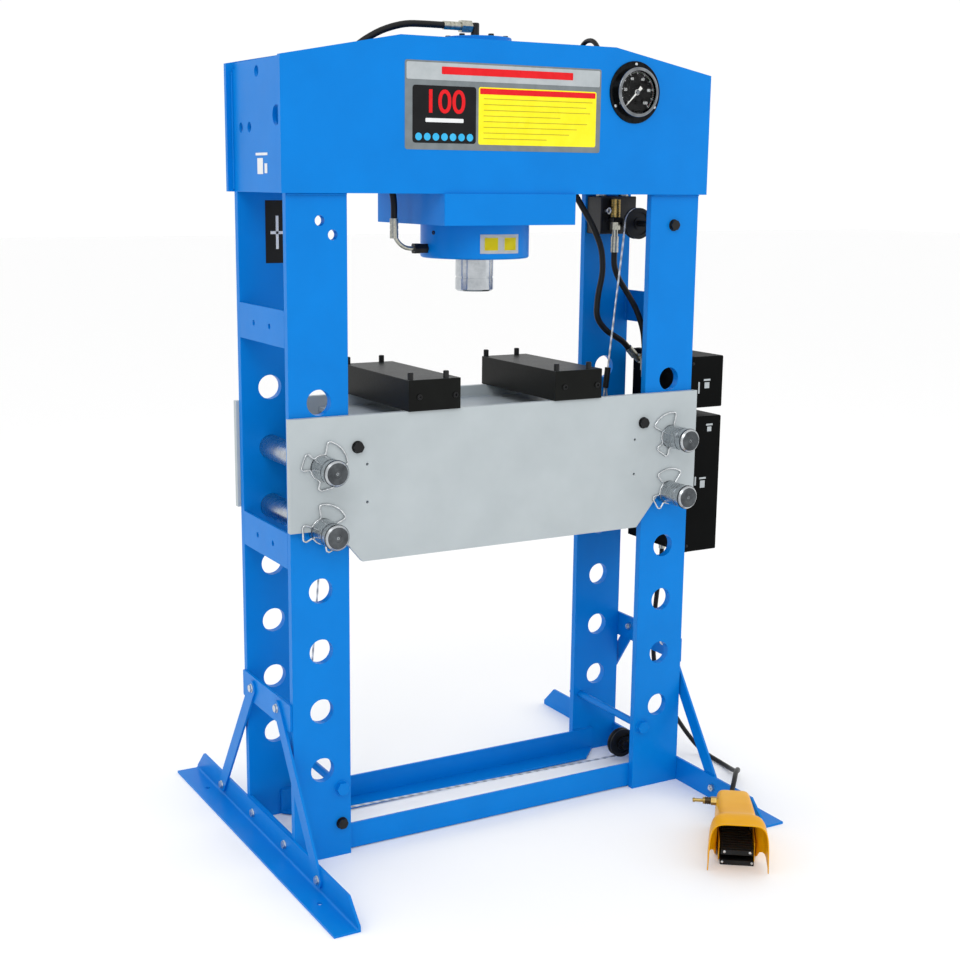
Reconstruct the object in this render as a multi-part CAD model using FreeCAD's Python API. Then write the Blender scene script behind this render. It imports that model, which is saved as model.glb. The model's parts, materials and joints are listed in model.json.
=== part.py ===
import FreeCAD
import Part
import math
import os

from FreeCAD import Vector

# Workshop hydraulic press with an H frame, millimetres.
# X is to the right, Y to the rear and Z up.  The origin lies on the floor, at the centre of
# the four anchor holes in the feet, straight under the ram.

# ---- driving dimensions: frame ----
bar_width = 150.0            # flat bars of the uprights
bar_thick = 20.0
column_centre_x = 500.0      # middle of each upright
frame_depth = 320.0          # over the outer faces of the front and rear bars

pin_dia = 60.0
pin_clear = 0.3              # radial play of a support pin in its holes
pin_hole_dia = pin_dia + 2 * pin_clear
pin_pitch = 150.0
pin_hole_count = 7
first_hole_z = 232.0
pin_hole_used = (4, 5)       # the two holes of each upright that hold pins

head_bottom_z = 1607.0
head_side_height = 297.0
head_height = 353.0          # at the middle
head_overhang = 90.0         # beyond the middle of each upright
bar_below_top = 70.0         # tops of the uprights under the top edge of the head
head_flat_half = 295.0       # half the level top edge
head_thick = 13.0
side_plate_thick = 8.0

tie_thick = 6.0
tie_height = 85.0
upper_tie_z = 1259.0
middle_tie_z = 740.0
tie_hole_dia = 14.0
tie_hole_gap = 98.0          # between the two holes of one tie

# ---- driving dimensions: base ----
angle_leg = 65.0             # equal angle bar used for rails and feet
angle_thick = 6.0
rail_gap = 10.0              # rails end this far inside the middle of the uprights
rail_lift = 3.0              # rails stay this far above the floor
foot_half = 533.0
foot_chamfer = 54.0
anchor_inset = 31.0          # from the outer edge of the upright to the anchor holes
anchor_y = 378.0
anchor_dia = 14.0

bracket_low_z = 340.0
bracket_height = 68.0
bracket_half = 155.0
brace_thick = 6.0
brace_width = 38.0
brace_top_y = 83.0
brace_top_z = 380.0
brace_foot_y = 320.0
brace_foot_z = 34.0
foot_bolt_y = 106.0
small_bolt_dia = 10.0
small_bolt_clear = 0.5

# ---- driving dimensions: cylinder ----
carrier_x = 366.0
carrier_y = 360.0
carrier_height = 74.0
barrel_dia = 273.0
barrel_bore = 200.0
barrel_drop = 158.0          # barrel below the head
barrel_fit = 0.3             # barrel in its carrier
ram_dia = 96.0
ram_drop = 241.0             # end of the ram below the head, drawn in
run_clear = 0.05             # radial running clearance of ram, piston and pulleys
gland_height = 52.0
piston_height = 60.0
piston_gap = 57.0            # over the piston, ram drawn in
cap_dia = 171.0
cap_rise = 19.0
cap_plug = 45.0
side_port_rise = 24.0

# ---- driving dimensions: bed ----
bed_thick = 16.0
bed_gap = 1.0                # bed plates run this far off the bars
bed_over_pin = 117.0         # bed's top edge over the upper pins
bed_under_pin = 86.0         # bottom edge under the lower pins
bed_overhang = 82.0          # beyond the middle of each upright
bed_taper = 102.0            # bottom edge ends this far inside the middle of the uprights
web_thick = 10.0
web_sunk = 29.0              # web below the bed's top edge
web_short = 140.0
rib_thick = 12.0
bed_hole_dia = 7.0
bed_hole_inset = 115.0
bed_hole_drop = (209.0, 118.0)

# ---- driving dimensions: pins and clips ----
pin_front = 86.0             # pin stands out this far in front of the bed plate
pin_rear = 12.0
pin_end_length = 26.0
pin_groove = 2.5
clip_wire = 4.5
clip_loops = ((65.0, 76.0), (57.0, 48.0), (57.0, 48.0))     # reach and span in degrees
clip_turn = {"upper_left": 40.0, "lower_left": 62.0, "upper_right": 115.0, "lower_right": 92.0}

# ---- driving dimensions: rope and pulleys ----
rope_dia = 5.0
groove_over_pin = 12.0       # the rope's outer run passes beside the support pins
pulley_rim = 5.0
pulley_width = 18.0
axle_dia = 16.0
top_pulley_drop = 77.0       # under the head
right_pulley_z = 68.0
left_pulley_z = 85.0
left_pulley_inset = 50.0
rope_anchor_inset = 90.0
rope_anchor_drop = 75.0      # under the bed's top edge
rope_eye = 70.0              # from the anchor bolt to the sleeve
tie_bolt_inset = 50.0
tie_bolt_z = 177.0
tie_bolt_dia = 20.0

# ---- driving dimensions: pressing blocks ----
block_width = 140.0
block_height = 75.0
block_length = 370.0
block_left_x = (-279.0, 131.0)
stud_dia = 14.0
stud_rise = 18.0
stud_inset = (8.0, 104.0)

# ---- driving dimensions: gauge ----
gauge_inset = 147.0          # from the middle of the right upright
gauge_rise = 248.0
gauge_flange_dia = 150.0
gauge_body_dia = 120.0
gauge_proud = 20.0
gauge_rear = 42.0

# ---- driving dimensions: pump cases ----
case_wall = 2.0
case_width = 108.0
case_front_y = -150.0
case_rear_y = 105.0
upper_case_z = (1046.0, 1184.0)
lower_case_z = (650.0, 1022.0)
mount_plate_thick = 5.0

# ---- driving dimensions: foot pedal ----
pedal_place = (353.0, -700.0)
pedal_turn = -35.8           # degrees about Z
pedal_length = 262.0
pedal_body_width = 92.0
pedal_hood_width = 147.0
pedal_hood_length = 78.0
pedal_wall = 3.0
pedal_hood_height = 128.0
pedal_rear_height = 104.0
base_height = 26.0

# ---- hoses ----
hose_dia = 16.0
gauge_hose_dia = 12.0
air_hose_dia = 13.0

# ---- derived places ----
head_shoulder_z = head_bottom_z + head_side_height
head_top_z = head_bottom_z + head_height
head_width = 2 * (column_centre_x + head_overhang)
bar_top_z = head_top_z - bar_below_top
rail_half = column_centre_x - rail_gap
barrel_bottom_z = head_bottom_z - barrel_drop
ram_bottom_z = head_bottom_z - ram_drop
piston_top_z = head_top_z - piston_gap
side_port_z = barrel_bottom_z + side_port_rise
bed_shoulder_z = first_hole_z + pin_pitch * pin_hole_used[0]
bed_top_z = first_hole_z + pin_pitch * pin_hole_used[1] + bed_over_pin
bed_bottom_z = bed_shoulder_z - bed_under_pin
bed_half = column_centre_x + bed_overhang
bed_bottom_half = column_centre_x - bed_taper
web_top_z = bed_top_z - web_sunk
web_half = column_centre_x - web_short
bed_hole_x = column_centre_x - bed_hole_inset
bed_hole_z = [bed_top_z - drop for drop in bed_hole_drop]
top_pulley = (column_centre_x - 2.0, head_bottom_z - top_pulley_drop)
right_pulley = (column_centre_x - 2.0, right_pulley_z)
left_pulley = (left_pulley_inset - column_centre_x, left_pulley_z)
rope_anchor_x = column_centre_x - rope_anchor_inset
rope_anchor_z = bed_top_z - rope_anchor_drop
tie_bolt_x = column_centre_x - tie_bolt_inset
gauge_x = column_centre_x - gauge_inset
gauge_z = head_bottom_z + gauge_rise
bar_outer_y = frame_depth / 2
bar_inner_y = bar_outer_y - bar_thick
column_outer_x = column_centre_x + bar_width / 2
column_inner_x = column_centre_x - bar_width / 2
head_front_y = bar_outer_y + head_thick
bed_inner_y = bar_outer_y + bed_gap
bed_outer_y = bed_inner_y + bed_thick
case_left_x = column_outer_x + mount_plate_thick
anchor_x = column_outer_x + anchor_inset
groove_dia = pin_dia + groove_over_pin
pulley_dia = groove_dia + 2 * pulley_rim
rope_radius = groove_dia / 2 + rope_dia / 2 + 0.1
pin_levels = {"lower": first_hole_z + pin_pitch * pin_hole_used[0],
              "upper": first_hole_z + pin_pitch * pin_hole_used[1]}
sides = {"left": -1, "right": 1}


# ---- shape helpers ----
def block(x0, y0, z0, x1, y1, z1):
    return Part.makeBox(x1 - x0, y1 - y0, z1 - z0, Vector(x0, y0, z0))


def rod(start, end, dia):
    line = Vector(*end) - Vector(*start)
    return Part.makeCylinder(dia / 2, line.Length, Vector(*start), line)


def hexagon(start, end, across_flats):
    a, b = Vector(*start), Vector(*end)
    side = (b - a).normalize()
    spread = Vector(0, 0, 1) if abs(side.z) < 0.9 else Vector(1, 0, 0)
    up = side.cross(spread).normalize()
    other = side.cross(up)
    radius = across_flats / math.sqrt(3)
    corners = []
    for i in range(7):
        turn = math.radians(60 * i)
        corners.append(a + up * (radius * math.cos(turn)) + other * (radius * math.sin(turn)))
    return Part.Face(Part.makePolygon(corners)).extrude(b - a)


def hex_head(start, end, across_flats):
    """A hexagon whose outer rim is turned off at 30 degrees."""
    head = hexagon(start, end, across_flats)
    a, b = Vector(*start), Vector(*end)
    radius = across_flats / math.sqrt(3)
    drop = (radius - across_flats / 2) * math.tan(math.radians(30))
    height = (b - a).Length
    cone = Part.makeCone(radius + (height - drop) / math.tan(math.radians(30)),
                         radius - drop / math.tan(math.radians(30)), height, a, b - a)
    return head.common(cone)


def prism_y(points, y0, y1):
    """Outline of (x, z) points, from y0 to y1."""
    corners = [Vector(x, y0, z) for x, z in points]
    return Part.Face(Part.makePolygon(corners + corners[:1])).extrude(Vector(0, y1 - y0, 0))


def prism_x(points, x0, x1):
    """Outline of (y, z) points, from x0 to x1."""
    corners = [Vector(x0, y, z) for y, z in points]
    return Part.Face(Part.makePolygon(corners + corners[:1])).extrude(Vector(x1 - x0, 0, 0))


def one(shape):
    shape = shape.removeSplitter()
    return shape.Solids[0] if len(shape.Solids) == 1 else shape


def group(shapes):
    return Part.makeCompound([one(s) for s in shapes])


def mirror_x(shape):
    return shape.mirror(Vector(0, 0, 0), Vector(1, 0, 0))


def mirror_y(shape):
    return shape.mirror(Vector(0, 0, 0), Vector(0, 1, 0))


def edges_along(shape, axis, keep=lambda point: True):
    """Straight edges along one axis whose middle passes the test."""
    found = []
    for edge in shape.Edges:
        if edge.Curve.TypeId != "Part::GeomLine":
            continue
        line = (edge.Vertexes[-1].Point - edge.Vertexes[0].Point).normalize()
        if abs(line.dot(axis)) > 0.999 and keep(edge.CenterOfMass):
            found.append(edge)
    return found


def route_arcs(points, limits=None):
    """Straight runs joined by tangent arcs, each as large as its runs or its limit allow."""
    nodes = [Vector(*p) for p in points]
    limits = limits or [1e6] * (len(nodes) - 2)
    edges = []
    radii = []
    start = nodes[0]
    for before, corner, after, limit in zip(nodes, nodes[1:], nodes[2:], limits):
        back = before - corner
        ahead = after - corner
        room = 0.45 * min(back.Length, ahead.Length)
        back.normalize()
        ahead.normalize()
        turn = math.pi - back.getAngle(ahead)
        radius = min(room / math.tan(turn / 2), limit)
        reach = radius * math.tan(turn / 2)
        first = corner + back * reach
        last = corner + ahead * reach
        middle = corner + (back + ahead).normalize() * (radius / math.cos(turn / 2) - radius)
        edges.append(Part.LineSegment(start, first).toShape())
        edges.append(Part.Arc(first, middle, last).toShape())
        radii.append(radius)
        start = last
    edges.append(Part.LineSegment(start, nodes[-1]).toShape())
    return edges, radii


def tube_along(edges, dia):
    path = Part.Wire(edges)
    first = edges[0]
    start = first.Vertexes[0].Point
    way = (first.Vertexes[-1].Point - start).normalize()
    ring = Part.Wire(Part.makeCircle(dia / 2, start, way))
    tube = path.makePipeShell([ring], True, True)
    return tube.Solids[0] if tube.Solids else tube


def hose(name, points, dia):
    edges, radii = route_arcs(points)
    tube = tube_along(edges, dia)
    length = sum(e.Length for e in edges)
    ratio = tube.Volume / (math.pi * dia ** 2 / 4 * length)
    print(name, "length", round(length), "radii", [round(r) for r in radii], "volume ratio", round(ratio, 4))
    return tube


# ---- frame ----
def axle_holes(bar, side, front):
    """Holes that the rope pulleys' axles and the tie bolts pass."""
    places = [(side * tie_bolt_x, tie_bolt_z, tie_bolt_dia)]
    if side > 0:
        places.append((top_pulley[0], top_pulley[1], axle_dia))
    else:
        places.append((left_pulley[0], left_pulley[1], axle_dia))
    for x, z, dia in places:
        bar = bar.cut(rod((x, -frame_depth, z), (x, frame_depth, z), dia + 2 * small_bolt_clear))
    if side < 0 and front:
        for inset, drop in ((7.0, 61.0), (39.0, 93.0)):
            x, z = inset - column_centre_x, head_bottom_z - drop
            bar = bar.cut(rod((x, -frame_depth, z), (x, 0, z), 24.0))
    return bar


def upright_bar(side, front):
    y0, y1 = (-bar_outer_y, -bar_inner_y) if front else (bar_inner_y, bar_outer_y)
    x = side * column_centre_x
    bar = block(x - bar_width / 2, y0, 0, x + bar_width / 2, y1, bar_top_z)
    bar = bar.makeFillet(1.5, edges_along(bar, Vector(0, 0, 1)))
    for k in range(pin_hole_count):
        z = first_hole_z + k * pin_pitch
        bar = bar.cut(rod((x, y0 - 1, z), (x, y1 + 1, z), pin_hole_dia))
    return one(axle_holes(bar, side, front))


def head_plate(front):
    outline = [(-head_width / 2, head_bottom_z), (head_width / 2, head_bottom_z),
               (head_width / 2, head_shoulder_z), (head_flat_half, head_top_z),
               (-head_flat_half, head_top_z), (-head_width / 2, head_shoulder_z)]
    y0, y1 = (-head_front_y, -bar_outer_y) if front else (bar_outer_y, head_front_y)
    plate = prism_y(outline, y0, y1)
    if front:
        hole = rod((gauge_x, y0 - 1, gauge_z), (gauge_x, y1 + 1, gauge_z), gauge_body_dia - 2.0)
        plate = plate.cut(hole)
    return one(plate)


def head_side_plates():
    plate = block(column_outer_x - side_plate_thick, -bar_inner_y, head_bottom_z,
                  column_outer_x, bar_inner_y, head_shoulder_z)
    for y, rise, dia in ((2.5, 271.0, 26.0), (107.0, 148.0, 24.0), (53.0, 148.0, 24.0), (-113.0, 170.0, 46.0)):
        z = head_bottom_z + rise
        plate = plate.cut(rod((column_inner_x, y, z), (column_outer_x + 5, y, z), dia))
    return group([plate, mirror_x(plate)])


def tie_plates():
    """Flat ties between the front and rear bars, two above and two at the middle."""
    ties = []
    for low in (upper_tie_z, middle_tie_z):
        tie = block(column_outer_x - tie_thick, -bar_inner_y, low, column_outer_x, bar_inner_y, low + tie_height)
        for y in (-tie_hole_gap / 2, tie_hole_gap / 2):
            z = low + tie_height / 2
            tie = tie.cut(rod((column_inner_x, y, z), (column_outer_x + 5, y, z), tie_hole_dia))
        ties += [tie, mirror_x(tie)]
    return group(ties)


def base_ties():
    tie = block(column_outer_x - tie_thick, -bar_inner_y, rail_lift,
                column_outer_x, bar_inner_y, rail_lift + angle_leg)
    for y in (-foot_bolt_y, foot_bolt_y):
        tie = tie.cut(bolt_hole(y, brace_foot_z))
    return group([tie, mirror_x(tie)])


def bolt_hole(y, z):
    dia = small_bolt_dia + 2 * small_bolt_clear
    return rod((column_inner_x, y, z), (column_outer_x + 60, y, z), dia)


def base_rails():
    """Angle bars between the uprights, on the inner faces of the front and rear bars."""
    low, high = rail_lift, rail_lift + angle_leg
    inner = -bar_inner_y + angle_thick
    edge = -bar_inner_y + angle_leg
    flange = block(-rail_half, -bar_inner_y, low, rail_half, inner, high)
    short = rail_half - angle_leg + angle_thick
    corners = [Vector(-rail_half, -bar_inner_y, low), Vector(rail_half, -bar_inner_y, low),
               Vector(rail_half, inner, low), Vector(short, edge, low), Vector(-short, edge, low),
               Vector(-rail_half, inner, low)]
    sole = Part.Face(Part.makePolygon(corners + corners[:1])).extrude(Vector(0, 0, angle_thick))
    rail = one(flange.fuse(sole))
    return group([rail, mirror_y(rail)])


def foot(side):
    """Angle bar under the outer edge of one upright, sole outwards."""
    face = column_outer_x
    end = [(-foot_half, 0), (foot_half, 0), (foot_half, 13.0), (foot_half - foot_chamfer, angle_leg),
           (-foot_half + foot_chamfer, angle_leg), (-foot_half, 13.0)]
    wall = prism_x(end, face, face + angle_thick)
    sole = block(face, -foot_half, 0, face + angle_leg, foot_half, angle_thick)
    bar = wall.fuse(sole)
    root = edges_along(bar, Vector(0, 1, 0),
                       lambda p: abs(p.x - face - angle_thick) < 0.1 and abs(p.z - angle_thick) < 0.1)
    bar = bar.makeFillet(5.0, root)
    for y in (-brace_foot_y, -foot_bolt_y, foot_bolt_y, brace_foot_y):
        bar = bar.cut(bolt_hole(y, brace_foot_z))
    for y in (-anchor_y, anchor_y):
        bar = bar.cut(rod((anchor_x, y, -1), (anchor_x, y, angle_thick + 1), anchor_dia))
    bar = one(bar)
    return bar if side > 0 else mirror_x(bar)


def brace_brackets():
    """Flat plates on the outer edges of the uprights that carry the tops of the braces."""
    plate = block(column_outer_x, -bracket_half, bracket_low_z,
                  column_outer_x + tie_thick, bracket_half, bracket_low_z + bracket_height)
    plate = plate.makeFillet(4.0, edges_along(plate, Vector(1, 0, 0)))
    for y in (-brace_top_y, brace_top_y):
        plate = plate.cut(bolt_hole(y, brace_top_z))
    return group([plate, mirror_x(plate)])


def foot_braces():
    """Flat bars with round ends, from the brackets down to the feet."""
    x0 = column_outer_x + tie_thick
    a = Vector(x0, brace_top_y, brace_top_z)
    b = Vector(x0, brace_foot_y, brace_foot_z)
    way = (b - a).normalize()
    across = Vector(0, -way.z, way.y) * (brace_width / 2)
    turn = way * (brace_width / 2)
    outline = [Part.LineSegment(a + across, b + across).toShape(),
               Part.Arc(b + across, b + turn, b - across).toShape(),
               Part.LineSegment(b - across, a - across).toShape(),
               Part.Arc(a - across, a - turn, a + across).toShape()]
    bar = Part.Face(Part.Wire(outline)).extrude(Vector(brace_thick, 0, 0))
    bar = bar.cut(bolt_hole(brace_top_y, brace_top_z)).cut(bolt_hole(brace_foot_y, brace_foot_z))
    bars = [bar, mirror_y(bar)]
    return group(bars + [mirror_x(b) for b in bars])


def small_bolt(y, z, inner, outer):
    """Hexagon bolt with its nut, through plates from x = inner to x = outer."""
    shank = rod((inner - 12, y, z), (outer, y, z), small_bolt_dia)
    head = hex_head((outer, y, z), (outer + 6.4, y, z), 17.0)
    nut = hex_head((inner, y, z), (inner - 8.0, y, z), 17.0)
    return shank.fuse(head).fuse(nut)


def brace_bolts():
    outer = column_outer_x + tie_thick + brace_thick
    bolts = []
    for y in (-brace_top_y, brace_top_y):
        bolts.append(small_bolt(y, brace_top_z, column_outer_x, outer))
    for y in (-brace_foot_y, brace_foot_y):
        bolts.append(small_bolt(y, brace_foot_z, column_outer_x, outer))
    for y in (-foot_bolt_y, foot_bolt_y):
        bolts.append(small_bolt(y, brace_foot_z, column_outer_x - tie_thick, column_outer_x + angle_thick))
    return group(bolts + [mirror_x(b) for b in bolts])


def through_bolt(x, z, dia, flats, front_y, rear_y):
    shank = rod((x, front_y, z), (x, rear_y + flats * 0.6, z), dia)
    head = hex_head((x, front_y, z), (x, front_y - flats * 0.45, z), flats)
    nut = hex_head((x, rear_y, z), (x, rear_y + flats * 0.5, z), flats)
    return shank.fuse(head).fuse(nut)


def frame_bolts():
    return group([through_bolt(s * tie_bolt_x, tie_bolt_z, tie_bolt_dia, 30.0, -bar_outer_y, bar_outer_y)
                  for s in (-1, 1)])


def axle_bolts():
    """Long bolts that the pulleys and the ends of the rope hang on."""
    bolts = [through_bolt(top_pulley[0], top_pulley[1], axle_dia, 24.0, -bar_outer_y, bar_outer_y),
             through_bolt(left_pulley[0], left_pulley[1], axle_dia, 24.0, -bar_outer_y, bar_outer_y)]
    for s in (-1, 1):
        bolts.append(through_bolt(s * rope_anchor_x, rope_anchor_z, axle_dia, 24.0, -bed_outer_y, bed_outer_y))
    x, z = right_pulley
    reach = pulley_width / 2 + 8.0
    bolts.append(through_bolt(x, z, axle_dia, 24.0, -reach, reach))
    return group(bolts)


# ---- rope ----
def pulley(centre):
    x, z = centre
    half = pulley_width / 2
    wheel = rod((x, -half, z), (x, half, z), pulley_dia)
    groove = Part.makeTorus(groove_dia / 2 + rope_dia / 2 + 0.3, rope_dia / 2 + 0.3, Vector(x, 0, z), Vector(0, 1, 0))
    lip = [Vector(x + groove_dia / 2 + rope_dia / 2, -rope_dia / 2, z),
           Vector(x + pulley_dia / 2 + 1, -rope_dia, z),
           Vector(x + pulley_dia / 2 + 1, rope_dia, z),
           Vector(x + groove_dia / 2 + rope_dia / 2, rope_dia / 2, z)]
    ring = Part.Face(Part.makePolygon(lip + lip[:1])).revolve(Vector(x, 0, z), Vector(0, 1, 0), 360)
    wheel = wheel.cut(groove).cut(ring)
    wheel = wheel.cut(rod((x, -half - 1, z), (x, half + 1, z), axle_dia + 2 * run_clear))
    for s in (-1, 1):
        dish = rod((x, s * half, z), (x, s * (half - 3.0), z), groove_dia - 10.0)
        boss = rod((x, s * half, z), (x, s * (half - 3.0), z), axle_dia + 14.0)
        wheel = wheel.cut(dish.cut(boss))
    return one(wheel)


def pulley_bracket():
    """Two ears and a back plate on the right base tie that carry the lower right pulley."""
    x, z = right_pulley
    back = column_outer_x - tie_thick
    ears = []
    for s in (-1, 1):
        y0 = s * (pulley_width / 2 + 2.0)
        y1 = y0 + s * 6.0
        ear = block(x, min(y0, y1), z - 20.0, back - 6.0, max(y0, y1), z + 20.0)
        ears.append(ear.fuse(rod((x, y0, z), (x, y1, z), 40.0)))
    low = rail_lift + 2.0
    plate = block(back - 6.0, -32.0, low, back, 32.0, z + 20.0)
    shape = plate.fuse(ears[0]).fuse(ears[1])
    return one(shape.cut(rod((x, -60, z), (x, 60, z), axle_dia + 2 * small_bolt_clear)))


def tangent_from(point, centre, radius, side):
    """Where a line from the point touches the circle, on its left (-1) or right (1) side."""
    px, pz = point[0] - centre[0], point[1] - centre[1]
    dist = math.hypot(px, pz)
    base = math.atan2(pz, px)
    off = math.acos(radius / dist)
    options = [base + off, base - off]
    spots = [(centre[0] + radius * math.cos(t), centre[1] + radius * math.sin(t)) for t in options]
    return max(spots, key=lambda spot: side * spot[0])


def rope_stop(side):
    """Where the rope leaves its eye: above the right anchor bolt, below the left one."""
    return (side * rope_anchor_x, rope_anchor_z + side * rope_eye)


def lift_rope():
    """One rope: right bed anchor, over the top pulley, under both low pulleys, left bed anchor."""
    r = rope_radius
    start = rope_stop(1)
    end = rope_stop(-1)
    top_in = tangent_from(start, top_pulley, r, -1)
    top_out = (top_pulley[0] + r, top_pulley[1])
    low_in = (right_pulley[0] + r, right_pulley[1])
    tilt = math.atan2(left_pulley[1] - right_pulley[1], left_pulley[0] - right_pulley[0])
    down = (-math.sin(tilt), math.cos(tilt))
    if down[1] > 0:
        down = (-down[0], -down[1])
    low_out = (right_pulley[0] + r * down[0], right_pulley[1] + r * down[1])
    left_in = (left_pulley[0] + r * down[0], left_pulley[1] + r * down[1])
    left_out = tangent_from(end, left_pulley, r, -1)

    def at(spot):
        return Vector(spot[0], 0, spot[1])

    def around(first, last, centre, way):
        mid = Vector(first[0] + last[0] - 2 * centre[0], 0, first[1] + last[1] - 2 * centre[1])
        if mid.Length < r * 0.2 or mid.dot(Vector(way[0], 0, way[1])) < 0:
            mid = Vector(way[0], 0, way[1])
        return Part.Arc(at(first), Vector(centre[0], 0, centre[1]) + mid.normalize() * r, at(last)).toShape()

    edges = [Part.LineSegment(at(start), at(top_in)).toShape(),
             around(top_in, top_out, top_pulley, (0, 1)),
             Part.LineSegment(at(top_out), at(low_in)).toShape(),
             around(low_in, low_out, right_pulley, (1, -1)),
             Part.LineSegment(at(low_out), at(left_in)).toShape(),
             around(left_in, left_out, left_pulley, (-1, -1)),
             Part.LineSegment(at(left_out), at(end)).toShape()]
    print("lift_rope length", round(sum(e.Length for e in edges)))
    return tube_along(edges, rope_dia)


def rope_lean(side):
    """Direction of the rope where it leaves its anchor."""
    stop = rope_stop(side)
    centre = top_pulley if side > 0 else left_pulley
    far = tangent_from(stop, centre, rope_radius, -1)
    return Vector(far[0] - stop[0], 0, far[1] - stop[1]).normalize()


def rope_ends():
    """Wire eyes round the bed's anchor bolts."""
    eyes = []
    for s in (-1, 1):
        stop = Vector(rope_stop(s)[0], 0, rope_stop(s)[1])
        centre = Vector(s * rope_anchor_x, 0, rope_anchor_z)
        radius = axle_dia / 2 + rope_dia / 2 + 0.4
        side_in = centre + Vector(-radius, 0, 0)
        side_out = centre + Vector(radius, 0, 0)
        left = stop + Vector(-rope_dia / 2 - 0.1, 0, -s * 0.9)
        right = stop + Vector(rope_dia / 2 + 0.1, 0, -s * 0.9)
        edges = [Part.LineSegment(left, side_in).toShape(),
                 Part.Arc(side_in, centre + Vector(0, 0, -s * radius), side_out).toShape(),
                 Part.LineSegment(side_out, right).toShape()]
        eyes.append(tube_along(edges, rope_dia))
    return Part.makeCompound(eyes)


def rope_sleeves():
    """Crimped sleeves that close the eyes."""
    sleeves = []
    for s in (-1, 1):
        stop = Vector(rope_stop(s)[0], 0, rope_stop(s)[1])
        lean = rope_lean(s)
        body = Part.makeCylinder(8.0, 55.0, stop, lean)
        body = body.cut(Part.makeCylinder(rope_dia / 2 + 0.05, 70.0, stop - lean * 5, lean))
        sleeves.append(body)
    return group(sleeves)


# ---- cylinder ----
def cylinder_carrier():
    half_x, half_y = carrier_x / 2, carrier_y / 2
    low = head_bottom_z - carrier_height
    slab = block(-half_x, -half_y, low, half_x, half_y, head_bottom_z)
    slab = slab.makeFillet(2.0, edges_along(slab, Vector(0, 0, 1)))
    return one(slab.cut(rod((0, 0, low - 1), (0, 0, head_bottom_z + 1), barrel_dia + 2 * barrel_fit)))


def cylinder_barrel():
    tube = rod((0, 0, barrel_bottom_z), (0, 0, head_top_z), barrel_dia)
    rim = [e for e in tube.Edges if e.Curve.TypeId == "Part::GeomCircle"]
    tube = tube.makeFillet(6.0, [e for e in rim if e.CenterOfMass.z < head_bottom_z])
    tube = tube.cut(rod((0, 0, barrel_bottom_z - 1), (0, 0, head_top_z + 1), barrel_bore))
    port = rod((-barrel_dia / 2 - 1, 0, side_port_z), (-barrel_dia / 2 + 14, 0, side_port_z), 12.0)
    tube = tube.cut(port)
    return one(tube)


def cylinder_cap():
    plug = rod((0, 0, head_top_z - cap_plug), (0, 0, head_top_z), barrel_bore - 2 * run_clear)
    disc = rod((0, 0, head_top_z), (0, 0, head_top_z + cap_rise), cap_dia)
    disc = disc.makeChamfer(1.5, [e for e in disc.Edges if e.CenterOfMass.z > head_top_z + 1
                                  and e.Curve.TypeId == "Part::GeomCircle"])
    cap = plug.fuse(disc)
    return one(cap.cut(rod((-5, 0, head_top_z + cap_rise - 14), (-5, 0, head_top_z + cap_rise + 1), 10.0)))


def cylinder_gland():
    z0 = barrel_bottom_z
    ring = rod((0, 0, z0), (0, 0, z0 + gland_height), barrel_bore - 2 * run_clear)
    ring = ring.cut(rod((0, 0, z0 - 1), (0, 0, z0 + gland_height + 1), ram_dia + 2 * run_clear))
    groove = rod((0, 0, z0 - 1), (0, 0, z0 + 5.0), ram_dia + 20.0)
    return one(ring.cut(groove))


def ram():
    body = rod((0, 0, ram_bottom_z), (0, 0, piston_top_z - piston_height + 1), ram_dia)
    end = [e for e in body.Edges if e.Curve.TypeId == "Part::GeomCircle" and e.CenterOfMass.z < ram_bottom_z + 1]
    body = body.makeChamfer(4.0, end)
    groove_z = ram_bottom_z + 32.0
    ring = rod((0, 0, groove_z), (0, 0, groove_z + 5.0), ram_dia + 2)
    ring = ring.cut(rod((0, 0, groove_z - 1), (0, 0, groove_z + 6.0), ram_dia - 4.0))
    body = body.cut(ring)
    head = rod((0, 0, piston_top_z - piston_height), (0, 0, piston_top_z), barrel_bore - 2 * run_clear)
    for z in (piston_top_z - 42.0, piston_top_z - 22.0):
        seal = rod((0, 0, z), (0, 0, z + 8.0), barrel_bore + 2)
        head = head.cut(seal.cut(rod((0, 0, z - 1), (0, 0, z + 9.0), barrel_bore - 12.0)))
    return one(body.fuse(head))


# ---- bed ----
def bed_plate(front):
    y0 = -bed_outer_y if front else bed_inner_y
    y1 = y0 + bed_thick
    x = column_centre_x
    r = pin_hole_dia / 2
    zs = bed_shoulder_z
    right = [(bed_bottom_half, bed_bottom_z), (x - r, zs), (bed_half, zs), (bed_half, bed_top_z)]
    outline = right + [(-px, pz) for px, pz in reversed(right)]
    plate = prism_y(outline, y0, y1)
    for s in (-1, 1):
        plate = plate.cut(rod((s * x, y0 - 1, zs), (s * x, y1 + 1, zs), pin_hole_dia))
        z = pin_levels["upper"]
        plate = plate.cut(rod((s * x, y0 - 1, z), (s * x, y1 + 1, z), pin_hole_dia))
        for hole_z in bed_hole_z:
            plate = plate.cut(rod((s * bed_hole_x, y0 - 1, hole_z), (s * bed_hole_x, y1 + 1, hole_z), bed_hole_dia))
        anchor = rod((s * rope_anchor_x, y0 - 1, rope_anchor_z), (s * rope_anchor_x, y1 + 1, rope_anchor_z),
                     axle_dia + 2 * small_bolt_clear)
        plate = plate.cut(anchor)
    return one(plate)


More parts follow.
